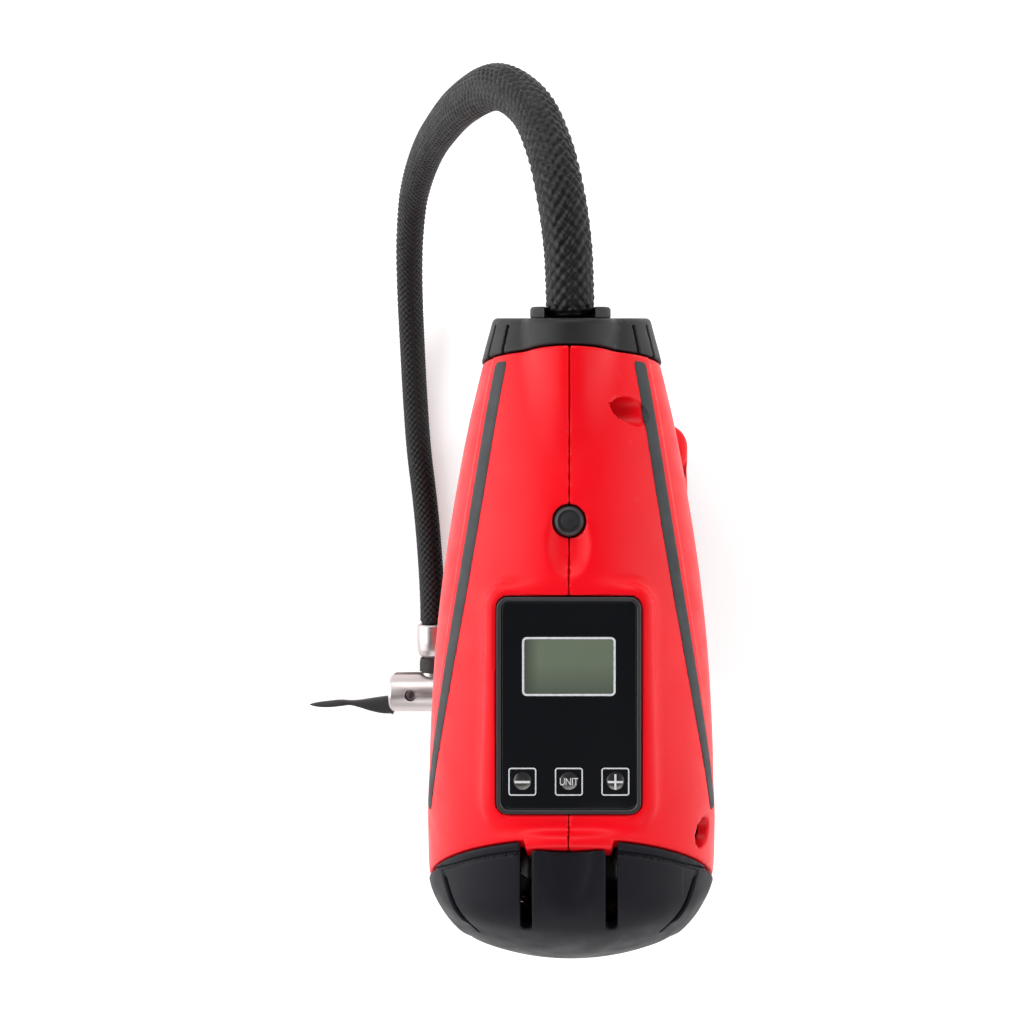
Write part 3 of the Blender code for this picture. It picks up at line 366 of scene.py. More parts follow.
def surface_net(values):
    """Points in cell units and outward quads of the zero surface of a grid of distances."""
    inside = values < 0
    size = [n - 1 for n in values.shape]
    total = np.zeros(size, np.int8)
    for index in range(8):
        dx, dy, dz = corner_shift(index)
        total += inside[dx:dx + size[0], dy:dy + size[1], dz:dz + size[2]]
    cells = np.argwhere((total > 0) & (total < 8))
    ids = np.full(size, -1, np.int64)
    ids[tuple(cells.T)] = np.arange(len(cells))
    shifts = np.array([corner_shift(index) for index in range(8)])
    corners = [values[tuple((cells + shift).T)] for shift in shifts]
    place = np.zeros((len(cells), 3))
    number = np.zeros(len(cells))
    for a in range(8):
        for bit in (1, 2, 4):
            b = a | bit
            if a == b:
                continue
            crossing = (corners[a] < 0) != (corners[b] < 0)
            share = np.where(crossing, corners[a] / np.where(crossing, corners[a] - corners[b], 1), 0)
            place += crossing[:, None] * (shifts[a] + share[:, None] * (shifts[b] - shifts[a]))
            number += crossing
    quads = []
    for axis in range(3):
        one, two = (axis + 1) % 3, (axis + 2) % 3
        low = [slice(None)] * 3
        high = [slice(None)] * 3
        low[axis], high[axis] = slice(0, -1), slice(1, None)
        first, second = inside[tuple(low)], inside[tuple(high)]
        for leaving in (True, False):
            edges = np.argwhere((first & ~second) if leaving else (~first & second))
            edges = edges[(edges[:, one] > 0) & (edges[:, two] > 0)
                          & (edges[:, one] < size[one]) & (edges[:, two] < size[two])]
            ring = []
            for back_one, back_two in ((1, 1), (0, 1), (0, 0), (1, 0)):
                at = edges.copy()
                at[:, one] -= back_one
                at[:, two] -= back_two
                ring.append(ids[tuple(at.T)])
            quads.append(np.stack(ring if leaving else ring[::-1], axis=1))
    return cells + place / number[:, None], np.concatenate(quads)


def settle(points, field, cell):
    """Moves the points onto the field's zero surface."""
    reach = 0.02
    for _ in range(3):
        value = field(*points.T)
        steps = [(points + shift, points - shift) for shift in reach * np.eye(3)]
        slope = np.stack([(field(*ahead.T) - field(*back.T)) / (2 * reach) for ahead, back in steps], axis=1)
        length = np.maximum((slope ** 2).sum(1), 0.2)
        move = (value / length)[:, None] * slope
        points = points - np.clip(move, -0.45 * cell, 0.45 * cell)
    return points


def moulded(name, field, low, high, cell, look, body, *nodes):
    """A piece meshed from its field, riding on a body in place of its CAD nodes."""
    axes = [np.arange(a - 2 * cell, b + 3 * cell, cell) for a, b in zip(low, high)]
    grid = np.meshgrid(*axes, indexing="ij", sparse=True)
    values = np.broadcast_to(field(*grid), [len(axis) for axis in axes]).astype(np.float32)
    points, quads = surface_net(values)
    start = np.array([axis[0] for axis in axes])
    points = settle(points * cell + start, field, cell)
    mesh = bpy.data.meshes.new(name)
    mesh.vertices.add(len(points))
    mesh.vertices.foreach_set("co", (points * MM).astype(np.float32).ravel())
    mesh.loops.add(quads.size)
    mesh.loops.foreach_set("vertex_index", quads.astype(np.int32).ravel())
    mesh.polygons.add(len(quads))
    mesh.polygons.foreach_set("loop_start", np.arange(0, quads.size, 4, dtype=np.int32))
    mesh.update(calc_edges=True)
    return place(name, shaded(mesh, math.radians(32)), look, body, *nodes)


def new_object(name, data):
    thing = bpy.data.objects.new(name, data)
    bpy.context.scene.collection.objects.link(thing)
    return thing


def evaluated_mesh(thing):
    graph = bpy.context.evaluated_depsgraph_get()
    return bpy.data.meshes.new_from_object(thing.evaluated_get(graph))


def shaded(mesh, angle=SHARP):
    mesh.shade_smooth()
    mesh.set_sharp_from_angle(angle=angle)
    return mesh


def mesh_of(name, bm):
    mesh = bpy.data.meshes.new(name)
    bm.to_mesh(mesh)
    bm.free()
    return mesh


def place(name, mesh, look, body, *nodes):
    """Puts a piece into the scene, riding on a body, in place of the CAD nodes that it shows."""
    piece = new_object(name, mesh)
    mesh.materials.append(LOOKS[look]())
    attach(piece, body)
    if nodes:
        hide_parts(*nodes)
    return piece


def grid_mesh(name, rows, caps=True):
    """Mesh through closed rows of points in millimetres; every row has the same count."""
    bm = bmesh.new()
    verts = [[bm.verts.new(Vector(p) * MM) for p in row] for row in rows]
    count = len(verts[0])
    for low, high in zip(verts, verts[1:]):
        for i in range(count):
            bm.faces.new((low[i], low[(i + 1) % count], high[(i + 1) % count], high[i]))
    if caps:
        bm.faces.new(list(reversed(verts[0])))
        bm.faces.new(verts[-1])
    bmesh.ops.recalc_face_normals(bm, faces=bm.faces)
    return shaded(mesh_of(name, bm))


def band_mesh(name, rows):
    """Mesh of rows that run round and meet the first again."""
    mesh = grid_mesh(name, rows + [rows[0]], caps=False)
    bm = bmesh.new()
    bm.from_mesh(mesh)
    bmesh.ops.remove_doubles(bm, verts=bm.verts, dist=WELD)
    bmesh.ops.recalc_face_normals(bm, faces=bm.faces)
    bm.to_mesh(mesh)
    bm.free()
    return mesh


def block_mesh(name, size, centre):
    bm = bmesh.new()
    bmesh.ops.create_cube(bm, size=1.0)
    bmesh.ops.scale(bm, vec=Vector(size) * MM, verts=bm.verts)
    bmesh.ops.translate(bm, vec=Vector(centre) * MM, verts=bm.verts)
    return mesh_of(name, bm)


def lathe_mesh(name, profile, at, axis, steps=96):
    """Turned mesh of (radius, along) pairs: from one end of the axis to the other, or a loop off it."""
    turn = Vector(axis).to_track_quat("Z", "Y").to_matrix()
    circle = [(math.cos(2 * math.pi * i / steps), math.sin(2 * math.pi * i / steps)) for i in range(steps)]
    bm = bmesh.new()
    verts = [[bm.verts.new((Vector(at) + turn @ Vector((radius * c, radius * s, along))) * MM)
              for c, s in circle] for radius, along in profile]
    if profile[0][0] > 0:
        verts.append(verts[0])
    for low, high in zip(verts, verts[1:]):
        for i in range(steps):
            bm.faces.new((low[i], low[(i + 1) % steps], high[(i + 1) % steps], high[i]))
    bmesh.ops.remove_doubles(bm, verts=bm.verts, dist=WELD)
    bmesh.ops.recalc_face_normals(bm, faces=bm.faces)
    return shaded(mesh_of(name, bm))


def turned(name, profile, at, axis, steps, look, body, *nodes):
    return place(name, lathe_mesh(name, profile, at, axis, steps), look, body, *nodes)


def ring_points(centre, half_x, half_y, radius, z, arc=6):
    """Points round a rectangle with rounded corners."""
    points = []
    for corner in range(4):
        sign_x, sign_y = ((1, 1), (-1, 1), (-1, -1), (1, -1))[corner]
        for step in range(arc + 1):
            angle = math.pi / 2 * (corner + step / arc)
            points.append((centre[0] + sign_x * (half_x - radius) + radius * math.cos(angle),
                           centre[1] + sign_y * (half_y - radius) + radius * math.sin(angle), z))
    return points


def slab(name, centre, half, radius, low, high, edge, look, body, *nodes, arc=6):
    """Rounded plate with a rolled top edge."""
    rows = [ring_points(centre, half[0], half[1], radius, low, arc)]
    for step in range(5):
        turn = math.pi / 2 * step / 4
        inset = edge * (1 - math.cos(turn))
        rows.append(ring_points(centre, half[0] - inset, half[1] - inset, max(radius - inset, 0.05),
                                high - edge + edge * math.sin(turn), arc))
    return place(name, grid_mesh(name, rows), look, body, *nodes)


def frame_line(name, centre, half, radius, width, low, high, look, body):
    """Printed outline: a thin closed band with a flat top."""
    inner = max(radius - width, 0.05)
    rows = [ring_points(centre, half[0], half[1], radius, low),
            ring_points(centre, half[0], half[1], radius, high),
            ring_points(centre, half[0] - width, half[1] - width, inner, high),
            ring_points(centre, half[0] - width, half[1] - width, inner, low)]
    return place(name, band_mesh(name, rows), look, body)


# ---------------------------------------------------------------- materials

class Look:
    """Small helper round one node material."""

    def __init__(self, name, roughness=0.5, metallic=0.0, **shader_values):
        self.material = bpy.data.materials.new(name)
        self.material.use_nodes = True
        self.nodes = self.material.node_tree.nodes
        self.links = self.material.node_tree.links
        self.shader = self.nodes["Principled BSDF"]
        for key, value in {"Roughness": roughness, "Metallic": metallic, **shader_values}.items():
            self.shader.inputs[key.replace("_", " ")].default_value = value
        self.coords = self.nodes.new("ShaderNodeTexCoord")

    def node(self, kind, **inputs):
        made = self.nodes.new("ShaderNode" + kind)
        for key, value in inputs.items():
            made.inputs[key.replace("_", " ")].default_value = value
        return made

    def noise(self, scale, detail=3.0, stretch=None):
        made = self.node("TexNoise", Scale=scale, Detail=detail)
        source = self.coords.outputs["Object"]
        if stretch:
            mapping = self.node("Mapping", Scale=stretch)
            self.links.new(source, mapping.inputs["Vector"])
            source = mapping.outputs["Vector"]
        self.links.new(source, made.inputs["Vector"])
        return made.outputs["Fac"]

    def ramp(self, factor, low, high):
        made = self.nodes.new("ShaderNodeValToRGB")
        for element, position, color in zip(made.color_ramp.elements, (0.3, 0.7), (low, high)):
            element.position = position
            element.color = (*color, 1.0)
        self.links.new(factor, made.inputs["Fac"])
        return made.outputs["Color"]

    def span(self, factor, low, high, start=0.3, end=0.7):
        made = self.node("MapRange", From_Min=start, From_Max=end, To_Min=low, To_Max=high)
        self.links.new(factor, made.inputs["Value"])
        return made.outputs["Result"]

    def mix(self, factor, first, second):
        made = self.nodes.new("ShaderNodeMix")
        made.data_type = "RGBA"
        for index, value in ((0, factor), (6, first), (7, second)):
            if isinstance(value, (float, int)):
                made.inputs[index].default_value = value
            elif isinstance(value, tuple):
                made.inputs[index].default_value = (*value, 1.0)
            else:
                self.links.new(value, made.inputs[index])
        return made.outputs[2]

    def bump(self, height, strength, distance, after=None):
        made = self.node("Bump", Strength=strength, Distance=distance * MM)
        self.links.new(height, made.inputs["Height"])
        if after:
            self.links.new(after, made.inputs["Normal"])
        return made.outputs["Normal"]

    def edges(self, start, end):
        """High on worn, outward edges."""
        shape = self.nodes.new("ShaderNodeNewGeometry")
        return self.span(shape.outputs["Pointiness"], 0.0, 1.0, start, end)

    def use(self, color=None, roughness=None, normal=None):
        for socket, value in (("Base Color", color), ("Roughness", roughness), ("Normal", normal)):
            if value is not None:
                self.links.new(value, self.shader.inputs[socket])
        return self.material


def shade(color, factor):
    return tuple(min(1.0, c * factor) for c in color)


def plastic(name, color, rough, grain=1500.0, depth=0.03, wear=0.12, **extra):
    look = Look(name, **extra)
    cloud = look.noise(35.0, 4.0)
    base = look.ramp(cloud, shade(color, 0.93), shade(color, 1.06))
    worn = look.nodes.new("ShaderNodeMath")
    worn.operation = "MULTIPLY"
    look.links.new(look.edges(0.53, 0.6), worn.inputs[0])
    worn.inputs[1].default_value = wear
    base = look.mix(worn.outputs[0], base, tuple(min(1.0, c * 0.8 + 0.14) for c in color))
    rub = look.noise(180.0, 5.0)
    fine = look.noise(grain, 2.0)
    normal = look.bump(fine, 0.35, depth)
    normal = look.bump(look.noise(60.0, 2.0), 0.15, depth * 3, normal)
    return look.use(base, look.span(rub, rough[0], rough[1]), normal)


@cache
def red_shell():
    return plastic("red_shell", (0.87, 0.0015, 0.009), (0.34, 0.46), grain=1700, depth=0.028, wear=0.07,
                   Specular_IOR_Level=0.22)


@cache
def charcoal():
    return plastic("charcoal", (0.019, 0.019, 0.020), (0.42, 0.58), grain=1900, depth=0.035,
                   Specular_IOR_Level=0.22)


@cache
def dark_cap():
    return plastic("dark_cap", (0.0065, 0.0065, 0.0105), (0.42, 0.56), grain=1900, depth=0.035, wear=0.06,
                   Specular_IOR_Level=0.15)


@cache
def rubber_inlay():
    look = Look("rubber_inlay", Specular_IOR_Level=0.35)
    base = look.ramp(look.noise(60.0, 4.0), (0.030, 0.032, 0.035), (0.043, 0.046, 0.050))
    normal = look.bump(look.noise(3200.0, 3.0), 0.5, 0.05)
    return look.use(base, look.span(look.noise(220.0, 4.0), 0.55, 0.72), normal)


@cache
def black_plastic():
    return plastic("black_plastic", (0.017, 0.017, 0.019), (0.36, 0.5), grain=1600, depth=0.03)


@cache
def gloss_panel():
    look = Look("gloss_panel", Specular_IOR_Level=0.4)
    base = look.ramp(look.noise(25.0, 3.0), (0.0045, 0.005, 0.006), (0.0065, 0.007, 0.0085))
    smear = look.noise(90.0, 6.0, (1.0, 0.35, 1.0))
    normal = look.bump(look.noise(40.0, 2.0), 0.05, 0.02)
    return look.use(base, look.span(smear, 0.07, 0.2), normal)


@cache
def lcd():
    look = Look("lcd")
    across = look.nodes.new("ShaderNodeSeparateXYZ")
    look.links.new(look.coords.outputs["Generated"], across.inputs[0])
    # Painted shade: the LCD darkens towards its tail-end edge, where the window's rim would shade it.
    low = look.span(across.outputs["Y"], 0.0, 1.0, 0.0, 0.55)
    base = look.mix(low, (0.085, 0.105, 0.078), (0.135, 0.165, 0.118))
    # Painted shade: it darkens again along its left side, also the rim's shadow painted in.
    side = look.span(across.outputs["X"], 0.0, 1.0, 0.0, 0.16)
    base = look.mix(side, (0.06, 0.075, 0.055), base)
    film = look.noise(700.0, 2.0, (1.0, 6.0, 1.0))
    normal = look.bump(film, 0.05, 0.01)
    return look.use(base, look.span(look.noise(120.0, 3.0), 0.16, 0.26), normal)


@cache
def printed():
    look = Look("printed")
    base = look.ramp(look.noise(900.0, 3.0), (0.55, 0.56, 0.58), (0.70, 0.71, 0.73))
    rough = look.span(look.noise(400.0, 3.0), 0.35, 0.5)
    return look.use(base, rough, look.bump(look.noise(2600.0), 0.2, 0.01))


# Painted highlight: the key domes get a light metal so that they show a glint; the dome shape itself is
# moulded.
@cache
def dome_steel():
    look = Look("dome_steel", metallic=0.9)
    base = look.ramp(look.noise(500.0, 3.0), (0.10, 0.10, 0.10), (0.17, 0.165, 0.16))
    rough = look.span(look.noise(300.0, 3.0), 0.2, 0.34)
    return look.use(base, rough, look.bump(look.noise(1800.0), 0.1, 0.01))


@cache
def circuit():
    look = Look("circuit")
    traces = look.nodes.new("ShaderNodeTexVoronoi")
    traces.feature = "DISTANCE_TO_EDGE"
    traces.inputs["Scale"].default_value = 420.0
    look.links.new(look.coords.outputs["Object"], traces.inputs["Vector"])
    line = look.span(traces.outputs["Distance"], 1.0, 0.0, 0.02, 0.06)
    base = look.mix(line, (0.012, 0.11, 0.035), (0.03, 0.24, 0.08))
    return look.use(base, look.span(look.noise(300.0), 0.3, 0.45), look.bump(line, 0.3, 0.04))


@cache
def clear_lens():
    look = Look("clear_lens", Transmission_Weight=0.85, IOR=1.49)
    base = look.ramp(look.noise(80.0), (0.90, 0.92, 0.95), (0.96, 0.97, 0.98))
    return look.use(base, look.span(look.noise(300.0), 0.04, 0.12), look.bump(look.noise(900.0), 0.15, 0.02))


def metal(name, color, rough, scratch=0.12, stretch=(1, 1, 1), spot=0.9):
    look = Look(name, metallic=1.0)
    base = look.ramp(look.noise(60.0, 5.0), shade(color, spot), shade(color, 1.05))
    lines = look.noise(900.0, 6.0, stretch)
    normal = look.bump(lines, scratch, 0.02)
    return look.use(base, look.span(lines, rough[0], rough[1], 0.35, 0.65), normal)


@cache
def steel():
    return metal("steel", (0.55, 0.55, 0.57), (0.26, 0.42), stretch=(1.0, 0.12, 1.0))


@cache
def nickel():
    return metal("nickel", (0.60, 0.545, 0.535), (0.30, 0.42), 0.08, (0.15, 1.0, 1.0), 0.92)


@cache
def brass():
    return metal("brass", (0.72, 0.42, 0.20), (0.28, 0.4), stretch=(1.0, 0.2, 1.0))


@cache
def alloy():
    return metal("alloy", (0.62, 0.63, 0.64), (0.4, 0.55), 0.3)


@cache
def nylon():
    return plastic("nylon", (0.62, 0.60, 0.52), (0.42, 0.55), grain=900, wear=0.05, Subsurface_Weight=0.08)


@cache
def seal_rubber():
    look = Look("seal_rubber")
    base = look.ramp(look.noise(150.0, 4.0), (0.014, 0.014, 0.014), (0.026, 0.026, 0.025))
    return look.use(base, look.span(look.noise(400.0), 0.55, 0.75), look.bump(look.noise(2500.0), 0.4, 0.03))


@cache
def cell_wrap():
    return plastic("cell_wrap", (0.02, 0.13, 0.36), (0.25, 0.35), grain=400, depth=0.02)


@cache
def braid():
    """Black polyester braid: filaments along each strand, duller in the valleys."""
    look = Look("braid", Sheen_Weight=0.02, Sheen_Roughness=0.4, Sheen_Tint=(0.5, 0.5, 0.52, 1.0),
                Specular_IOR_Level=0.28)
    strands = []
    for lean in (1.0, -1.0):
        mapping = look.node("Mapping", Scale=(30.0, 90.0, 1.0), Rotation=(0, 0, lean * math.radians(45)))
        look.links.new(look.coords.outputs["UV"], mapping.inputs["Vector"])
        wave = look.node("TexWave", Scale=1.0, Distortion=1.5)
        look.links.new(mapping.outputs["Vector"], wave.inputs["Vector"])
        strands.append(wave.outputs["Fac"])
    threads = look.mix(0.5, strands[0], strands[1])
    base = look.mix(look.noise(900.0, 4.0), (0.0022, 0.0022, 0.0025), (0.008, 0.008, 0.0085))
    normal = look.bump(threads, 0.12, 0.05)
    normal = look.bump(look.noise(3500.0, 2.0), 0.25, 0.03, normal)
    return look.use(base, look.span(look.noise(600.0), 0.34, 0.55), normal)


LOOKS = {maker.__name__: maker for maker in
         (red_shell, charcoal, dark_cap, rubber_inlay, black_plastic, gloss_panel, lcd, circuit, clear_lens,
          steel, nickel, brass, alloy, nylon, seal_rubber, cell_wrap, braid)}


# ---------------------------------------------------------------- camera, light and floor

def studio():
    camera = new_object("camera", bpy.data.cameras.new("camera"))
    camera.location = CAMERA_AT
    camera.data.sensor_width = 36.0
    camera.data.lens = LENS_MM
    camera.data.shift_x = LENS_SHIFT
    camera.data.clip_start = 0.01
    bpy.context.scene.camera = camera
    bpy.context.scene.view_settings.view_transform = "Standard"

    floor = bpy.data.meshes.new("floor")
    reach, level = 3.0, -0.0004
    floor.from_pydata([(-reach, -reach, level), (reach, -reach, level), (reach, reach, level),
                       (-reach, reach, level)], [], [(0, 1, 2, 3)])
    ground = new_object("floor", floor)
    look = Look("floor_paper", roughness=0.8)
    base = look.ramp(look.noise(8.0, 4.0), (0.86, 0.86, 0.86), (0.89, 0.89, 0.89))
    look.links.new(base, look.shader.inputs["Emission Color"])
    look.shader.inputs["Emission Strength"].default_value = 0.45
    floor.materials.append(look.use(base, look.span(look.noise(30.0), 0.75, 0.85)))

    aim = Vector((0, 0.03, 0.1))
    for name, at, size, power in (("left_softbox", (-0.85, 0.1, 0.55), (0.9, 1.2), 8.5),
                                  ("right_softbox", (0.9, 0.05, 0.5), (0.7, 1.2), 4.5),
                                  ("nose_softbox", (-0.15, 1.0, 0.8), (1.0, 0.6), 5.5),
                                  ("tail_softbox", (0.1, -0.9, 0.9), (1.0, 0.6), 3.5)):
        lamp = bpy.data.lights.new(name, "AREA")
        lamp.shape = "RECTANGLE"
        lamp.size, lamp.size_y = size
        lamp.energy = power
        thing = new_object(name, lamp)
        thing.location = at
        thing.rotation_euler = (aim - Vector(at)).to_track_quat("-Z", "Y").to_euler()

    world = bpy.data.worlds.new("studio")
    bpy.context.scene.world = world
    world.use_nodes = True
    nodes, links = world.node_tree.nodes, world.node_tree.links
    coords = nodes.new("ShaderNodeTexCoord")
    split = nodes.new("ShaderNodeSeparateXYZ")
    ramp = nodes.new("ShaderNodeValToRGB")
    links.new(coords.outputs["Generated"], split.inputs[0])
    links.new(split.outputs["Z"], ramp.inputs["Fac"])
    links.new(ramp.outputs["Color"], nodes["Background"].inputs["Color"])
    for element, position, color in zip(ramp.color_ramp.elements, (0.15, 0.85),
                                        ((1.0, 1.0, 1.0, 1), (0.06, 0.06, 0.065, 1))):
        element.position, element.color = position, color
    nodes["Background"].inputs["Strength"].default_value = 0.9


# ---------------------------------------------------------------- hose and chuck

def smooth_route(route, count):
    """Evenly spaced points on the smooth curve through the route's own points."""
    points = [Vector(p) for p in route]
    ends = [points[0] * 2 - points[1]] + points + [points[-1] * 2 - points[-2]]
    fine = []
    for i in range(1, len(ends) - 2):
        a, b, c, d = ends[i - 1:i + 3]
        for step in range(24):
            t = step / 24
            fine.append(0.5 * (2 * b + (c - a) * t + (2 * a - 5 * b + 4 * c - d) * t * t
                               + (3 * b - a - 3 * c + d) * t ** 3))
    fine.append(points[-1])
    lengths = np.cumsum([0.0] + [(q - p).length for p, q in zip(fine, fine[1:])])
    wanted = np.linspace(0, lengths[-1], count)
    coords = np.array(fine)
    return np.stack([np.interp(wanted, lengths, coords[:, i]) for i in range(3)], axis=1), lengths[-1]


def hose():
    """Braided hose: a tube whose skin rises and falls where the strands cross over each other."""
    rows_count, around_count = ((1150, 96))
    path, length = smooth_route(HOSE_ROUTE, rows_count)
    strands = 13
    radius = HOSE_D / 2
    twist = length / (2 * math.pi * radius)
    tangents = np.gradient(path, axis=0)
    tangents /= np.linalg.norm(tangents, axis=1)[:, None]
    side = np.array([1.0, 0.0, 0.0])
    skin = np.zeros((rows_count, around_count, 3))
    turn = 2 * np.pi * np.arange(around_count) / around_count
    for i, (at, ahead) in enumerate(zip(path, tangents)):
        side = side - ahead * side.dot(ahead)
        side /= np.linalg.norm(side)
        up = np.cross(ahead, side)
        along = 2 * np.pi * twist * i / (rows_count - 1)
        u, v = strands * (turn + along) / (2 * np.pi), strands * (turn - along) / (2 * np.pi)
        over = np.cos(np.pi * (np.floor(u) + np.floor(v)))
        crest_u, crest_v = np.abs(np.sin(np.pi * u)) ** 0.7, np.abs(np.sin(np.pi * v)) ** 0.7
        height = np.where(over > 0, crest_u * (0.45 + 0.55 * crest_v), crest_v * (0.45 + 0.55 * crest_u))
        if i < 3 or i > rows_count - 4:
            height = height * 0
        reach = radius - 0.62 + 0.6 * height
        skin[i] = at + reach[:, None] * (np.cos(turn)[:, None] * side + np.sin(turn)[:, None] * up)
    mesh = bpy.data.meshes.new("braided_hose")
    flat = skin.reshape(-1, 3) * MM
    starts, columns = np.arange(rows_count - 1)[:, None] * around_count, np.arange(around_count)[None, :]
    low, next_low = starts + columns, starts + (columns + 1) % around_count
    quads = np.stack([low, next_low, next_low + around_count, low + around_count], axis=2)
    faces = quads.reshape(-1, 4).tolist()
    faces.append(list(range(around_count))[::-1])
    last = (rows_count - 1) * around_count
    faces.append(list(range(last, last + around_count)))
    mesh.from_pydata(flat.tolist(), [], faces)
    mesh.shade_smooth()
    layer = mesh.uv_layers.new(name="UVMap")
    indices = np.zeros(len(mesh.loops), np.int64)
    mesh.loops.foreach_get("vertex_index", indices)
    uv = np.stack([(indices // around_count) / rows_count * length / 33.0,
                   (indices % around_count) / around_count], axis=1)
    layer.data.foreach_set("uv", uv.astype(np.float32).ravel())
    piece = place("braided_hose", mesh, "braid", "casing", "air_hose")
    middle_line = [tuple(p * MM) for p in path[::max(1, rows_count // 60)]] + [tuple(path[-1] * MM)]
    return piece, middle_line, length * MM


def combine(piece, tool_mesh, operation="DIFFERENCE"):
    """Boolean with a mesh in world coordinates, applied."""
    tool = new_object("tool", tool_mesh)
    step = piece.modifiers.new("combine", "BOOLEAN")
    step.operation = operation
    step.object = tool
    step.solver = "EXACT"
    mesh = evaluated_mesh(piece)
    piece.modifiers.remove(step)
    looks = list(piece.data.materials)
    piece.data = mesh
    mesh.materials.clear()
    for look in looks:
        mesh.materials.append(look)
    bpy.data.objects.remove(tool, do_unlink=True)
    shaded(mesh)


def rounded_profile(points, radius=0.35, steps=3):
    """Profile with its inner corners rounded."""
    made = [points[0]]
    for a, b, c in zip(points, points[1:], points[2:]):
        a, b, c = Vector(a), Vector(b), Vector(c)
        reach = min(radius, (a - b).length * 0.45, (c - b).length * 0.45)
        start, end = b + (a - b).normalized() * reach, b + (c - b).normalized() * reach
        for step in range(steps + 1):
            t = step / steps
            made.append(tuple(start * (1 - t) ** 2 + b * 2 * t * (1 - t) + end * t * t))
    made.append(points[-1])
    return made


def chuck():
    """Ferrule, neck ring and cross-lying chuck body with its seal, pin and lever."""
    at, axis = (FERRULE_X, 0, CHUCK_Z), (0, 1, 0)
    ferrule = [(0, -18.6), (5.7, -18.6), (6.3, -19.2), (6.35, -26.0), (6.1, -29.0), (5.7, -31.0),
               (5.0, -31.9), (0, -31.9)]
    collar = turned("crimped_ferrule", rounded_profile(ferrule, 0.25), at, axis, 96, "nickel", "casing",
                    "hose_ferrule")
    body = [(0, -60.0), (4.2, -60.0), (4.2, -45.5), (4.8, -45.0), (7.0, -45.0), (7.7, -45.6), (7.7, -47.2),
            (7.3, -47.7), (7.3, -48.4), (8.0, -49.2), (8.0, -76.6), (7.3, -77.7), (6.0, -78.0), (0, -78.0)]
    across, across_axis = (0, CHUCK_Y, CHUCK_Z), (1, 0, 0)
    piece = turned("chuck", rounded_profile(body, 0.3), across, across_axis, 96, "nickel", "casing",
                   "chuck_body")
    neck = [(0, -32.3), (4.0, -32.3), (4.2, -32.8), (4.2, -41.0), (0, -41.0)]
    combine(piece, lathe_mesh("neck", rounded_profile(neck, 0.2), at, axis, 64), "UNION")
    combine(piece, block_mesh("slot", (21.6, 30, 5.2), (-73.7, CHUCK_Y, CHUCK_Z)))
    combine(piece, lathe_mesh("hole", EYE_HOLE, LEVER_PIVOT, (0, 0, 1), 48))
    ring = [(4.3, -32.4), (5.0, -32.8), (5.3, -34.4), (5.3, -38.0), (4.3, -38.6)]
    boot = turned("neck_ring", ring, at, axis, 64, "seal_rubber", "casing")
    pin = [(0, 0.5), (1.6, 0.5), (2.1, 0.9), (2.1, 14.6), (1.8, 14.9), (1.55, 14.9), (1.4, 14.6), (1.4, 11.5),
           (0, 11.5)]
    axle = turned("lever_pin", pin, LEVER_PIVOT, (0, 0, 1), 48, "steel", "casing", "chuck_pin")
    washer = [(1.6, -59.7), (3.5, -59.7), (3.9, -59.2), (3.9, -55.6), (3.4, -55.1), (2.4, -55.1),
              (1.6, -56.2)]
    seal = turned("valve_seal", washer, across, across_axis, 64, "seal_rubber", "casing", "chuck_seal")
    return [collar, piece, boot, axle, seal, thumb_lever()]


def thumb_lever():
    """Cam lever: an eye round the pin, then a blade that leaves low, pinches and ends in a leaf."""
    rows = []
    stations = [(4.5, 0, 0.8, 2.15), (3.9, 0, 2.4, 2.2), (2.2, 0, 4.0, 2.2), (0, 0, 4.6, 2.2),
                (-2.6, -0.8, 4.6, 2.2), (-5.5, -2.0, 3.2, 2.2), (-7.9, -2.9, 2.2, 2.2),
                (-8.6, -5.15, 3.85, 2.15), (-9.6, -5.3, 3.7, 2.1), (-13, -5.45, 3.45, 2.0),
                (-18, -5.3, 2.6, 1.8), (-23, -4.9, 1.45, 1.6), (-26.6, -4.6, 0.95, 1.5),
                (-30.6, -4.7, 1.3, 1.4), (-35, -5.1, 1.35, 1.2), (-39, -5.3, 1.1, 1.0),
                (-42, -5.35, 0.6, 0.75), (-43.4, -5.35, 0.2, 0.4)]
    count = 24
    curve = curve_table([(-along, middle, half, thick) for along, middle, half, thick in stations])
    for along, middle, half, thick in curve:
        ring = []
        for i in range(count):
            angle = 2 * math.pi * i / count
            c, s = math.cos(angle), math.sin(angle)
            across = half * math.copysign(abs(c) ** 0.6, c)
            up = thick * math.copysign(abs(s) ** 0.45, s)
            ring.append((LEVER_PIVOT[0] - along, CHUCK_Y + middle + across, CHUCK_Z + up))
        rows.append(ring)
    piece = place("thumb_lever", grid_mesh("thumb_lever", rows), "black_plastic", "chuck_lever",
                  "chuck_lever")
    combine(piece, lathe_mesh("eye", EYE_HOLE, LEVER_PIVOT, (0, 0, 1), 48))
    return piece


def gland():
    """Flange with a neck into the collar; the hose drops through the notch in its top."""
    at = Vector((0, NOSE_FACE_Y - (OUTLET_Z - AXIS_Z) * math.tan(NOSE_TILT), OUTLET_Z))
    along = Vector((0, math.cos(NOSE_TILT), math.sin(NOSE_TILT)))
    base = at + along * 0.3
    profile = [(0, -10), (6.0, -10), (6.0, -0.4), (8.3, -0.4), (8.5, -0.1), (8.5, 1.5), (8.1, 2.0), (0, 2.0)]
    piece = turned("hose_flange", rounded_profile(profile, 0.2), base, along, 96, "charcoal", "casing",
                   "hose_gland")
    seat = [(0, 0.5), (5.25, 0.5), (5.25, 6), (0, 6)]
    combine(piece, lathe_mesh("seat", seat, base, along, 64))
    combine(piece, block_mesh("notch", (10.5, 8.0, 12.0), at + along * 1.9 + Vector((0, 0, 6.0))))


# ---------------------------------------------------------------- casing pieces

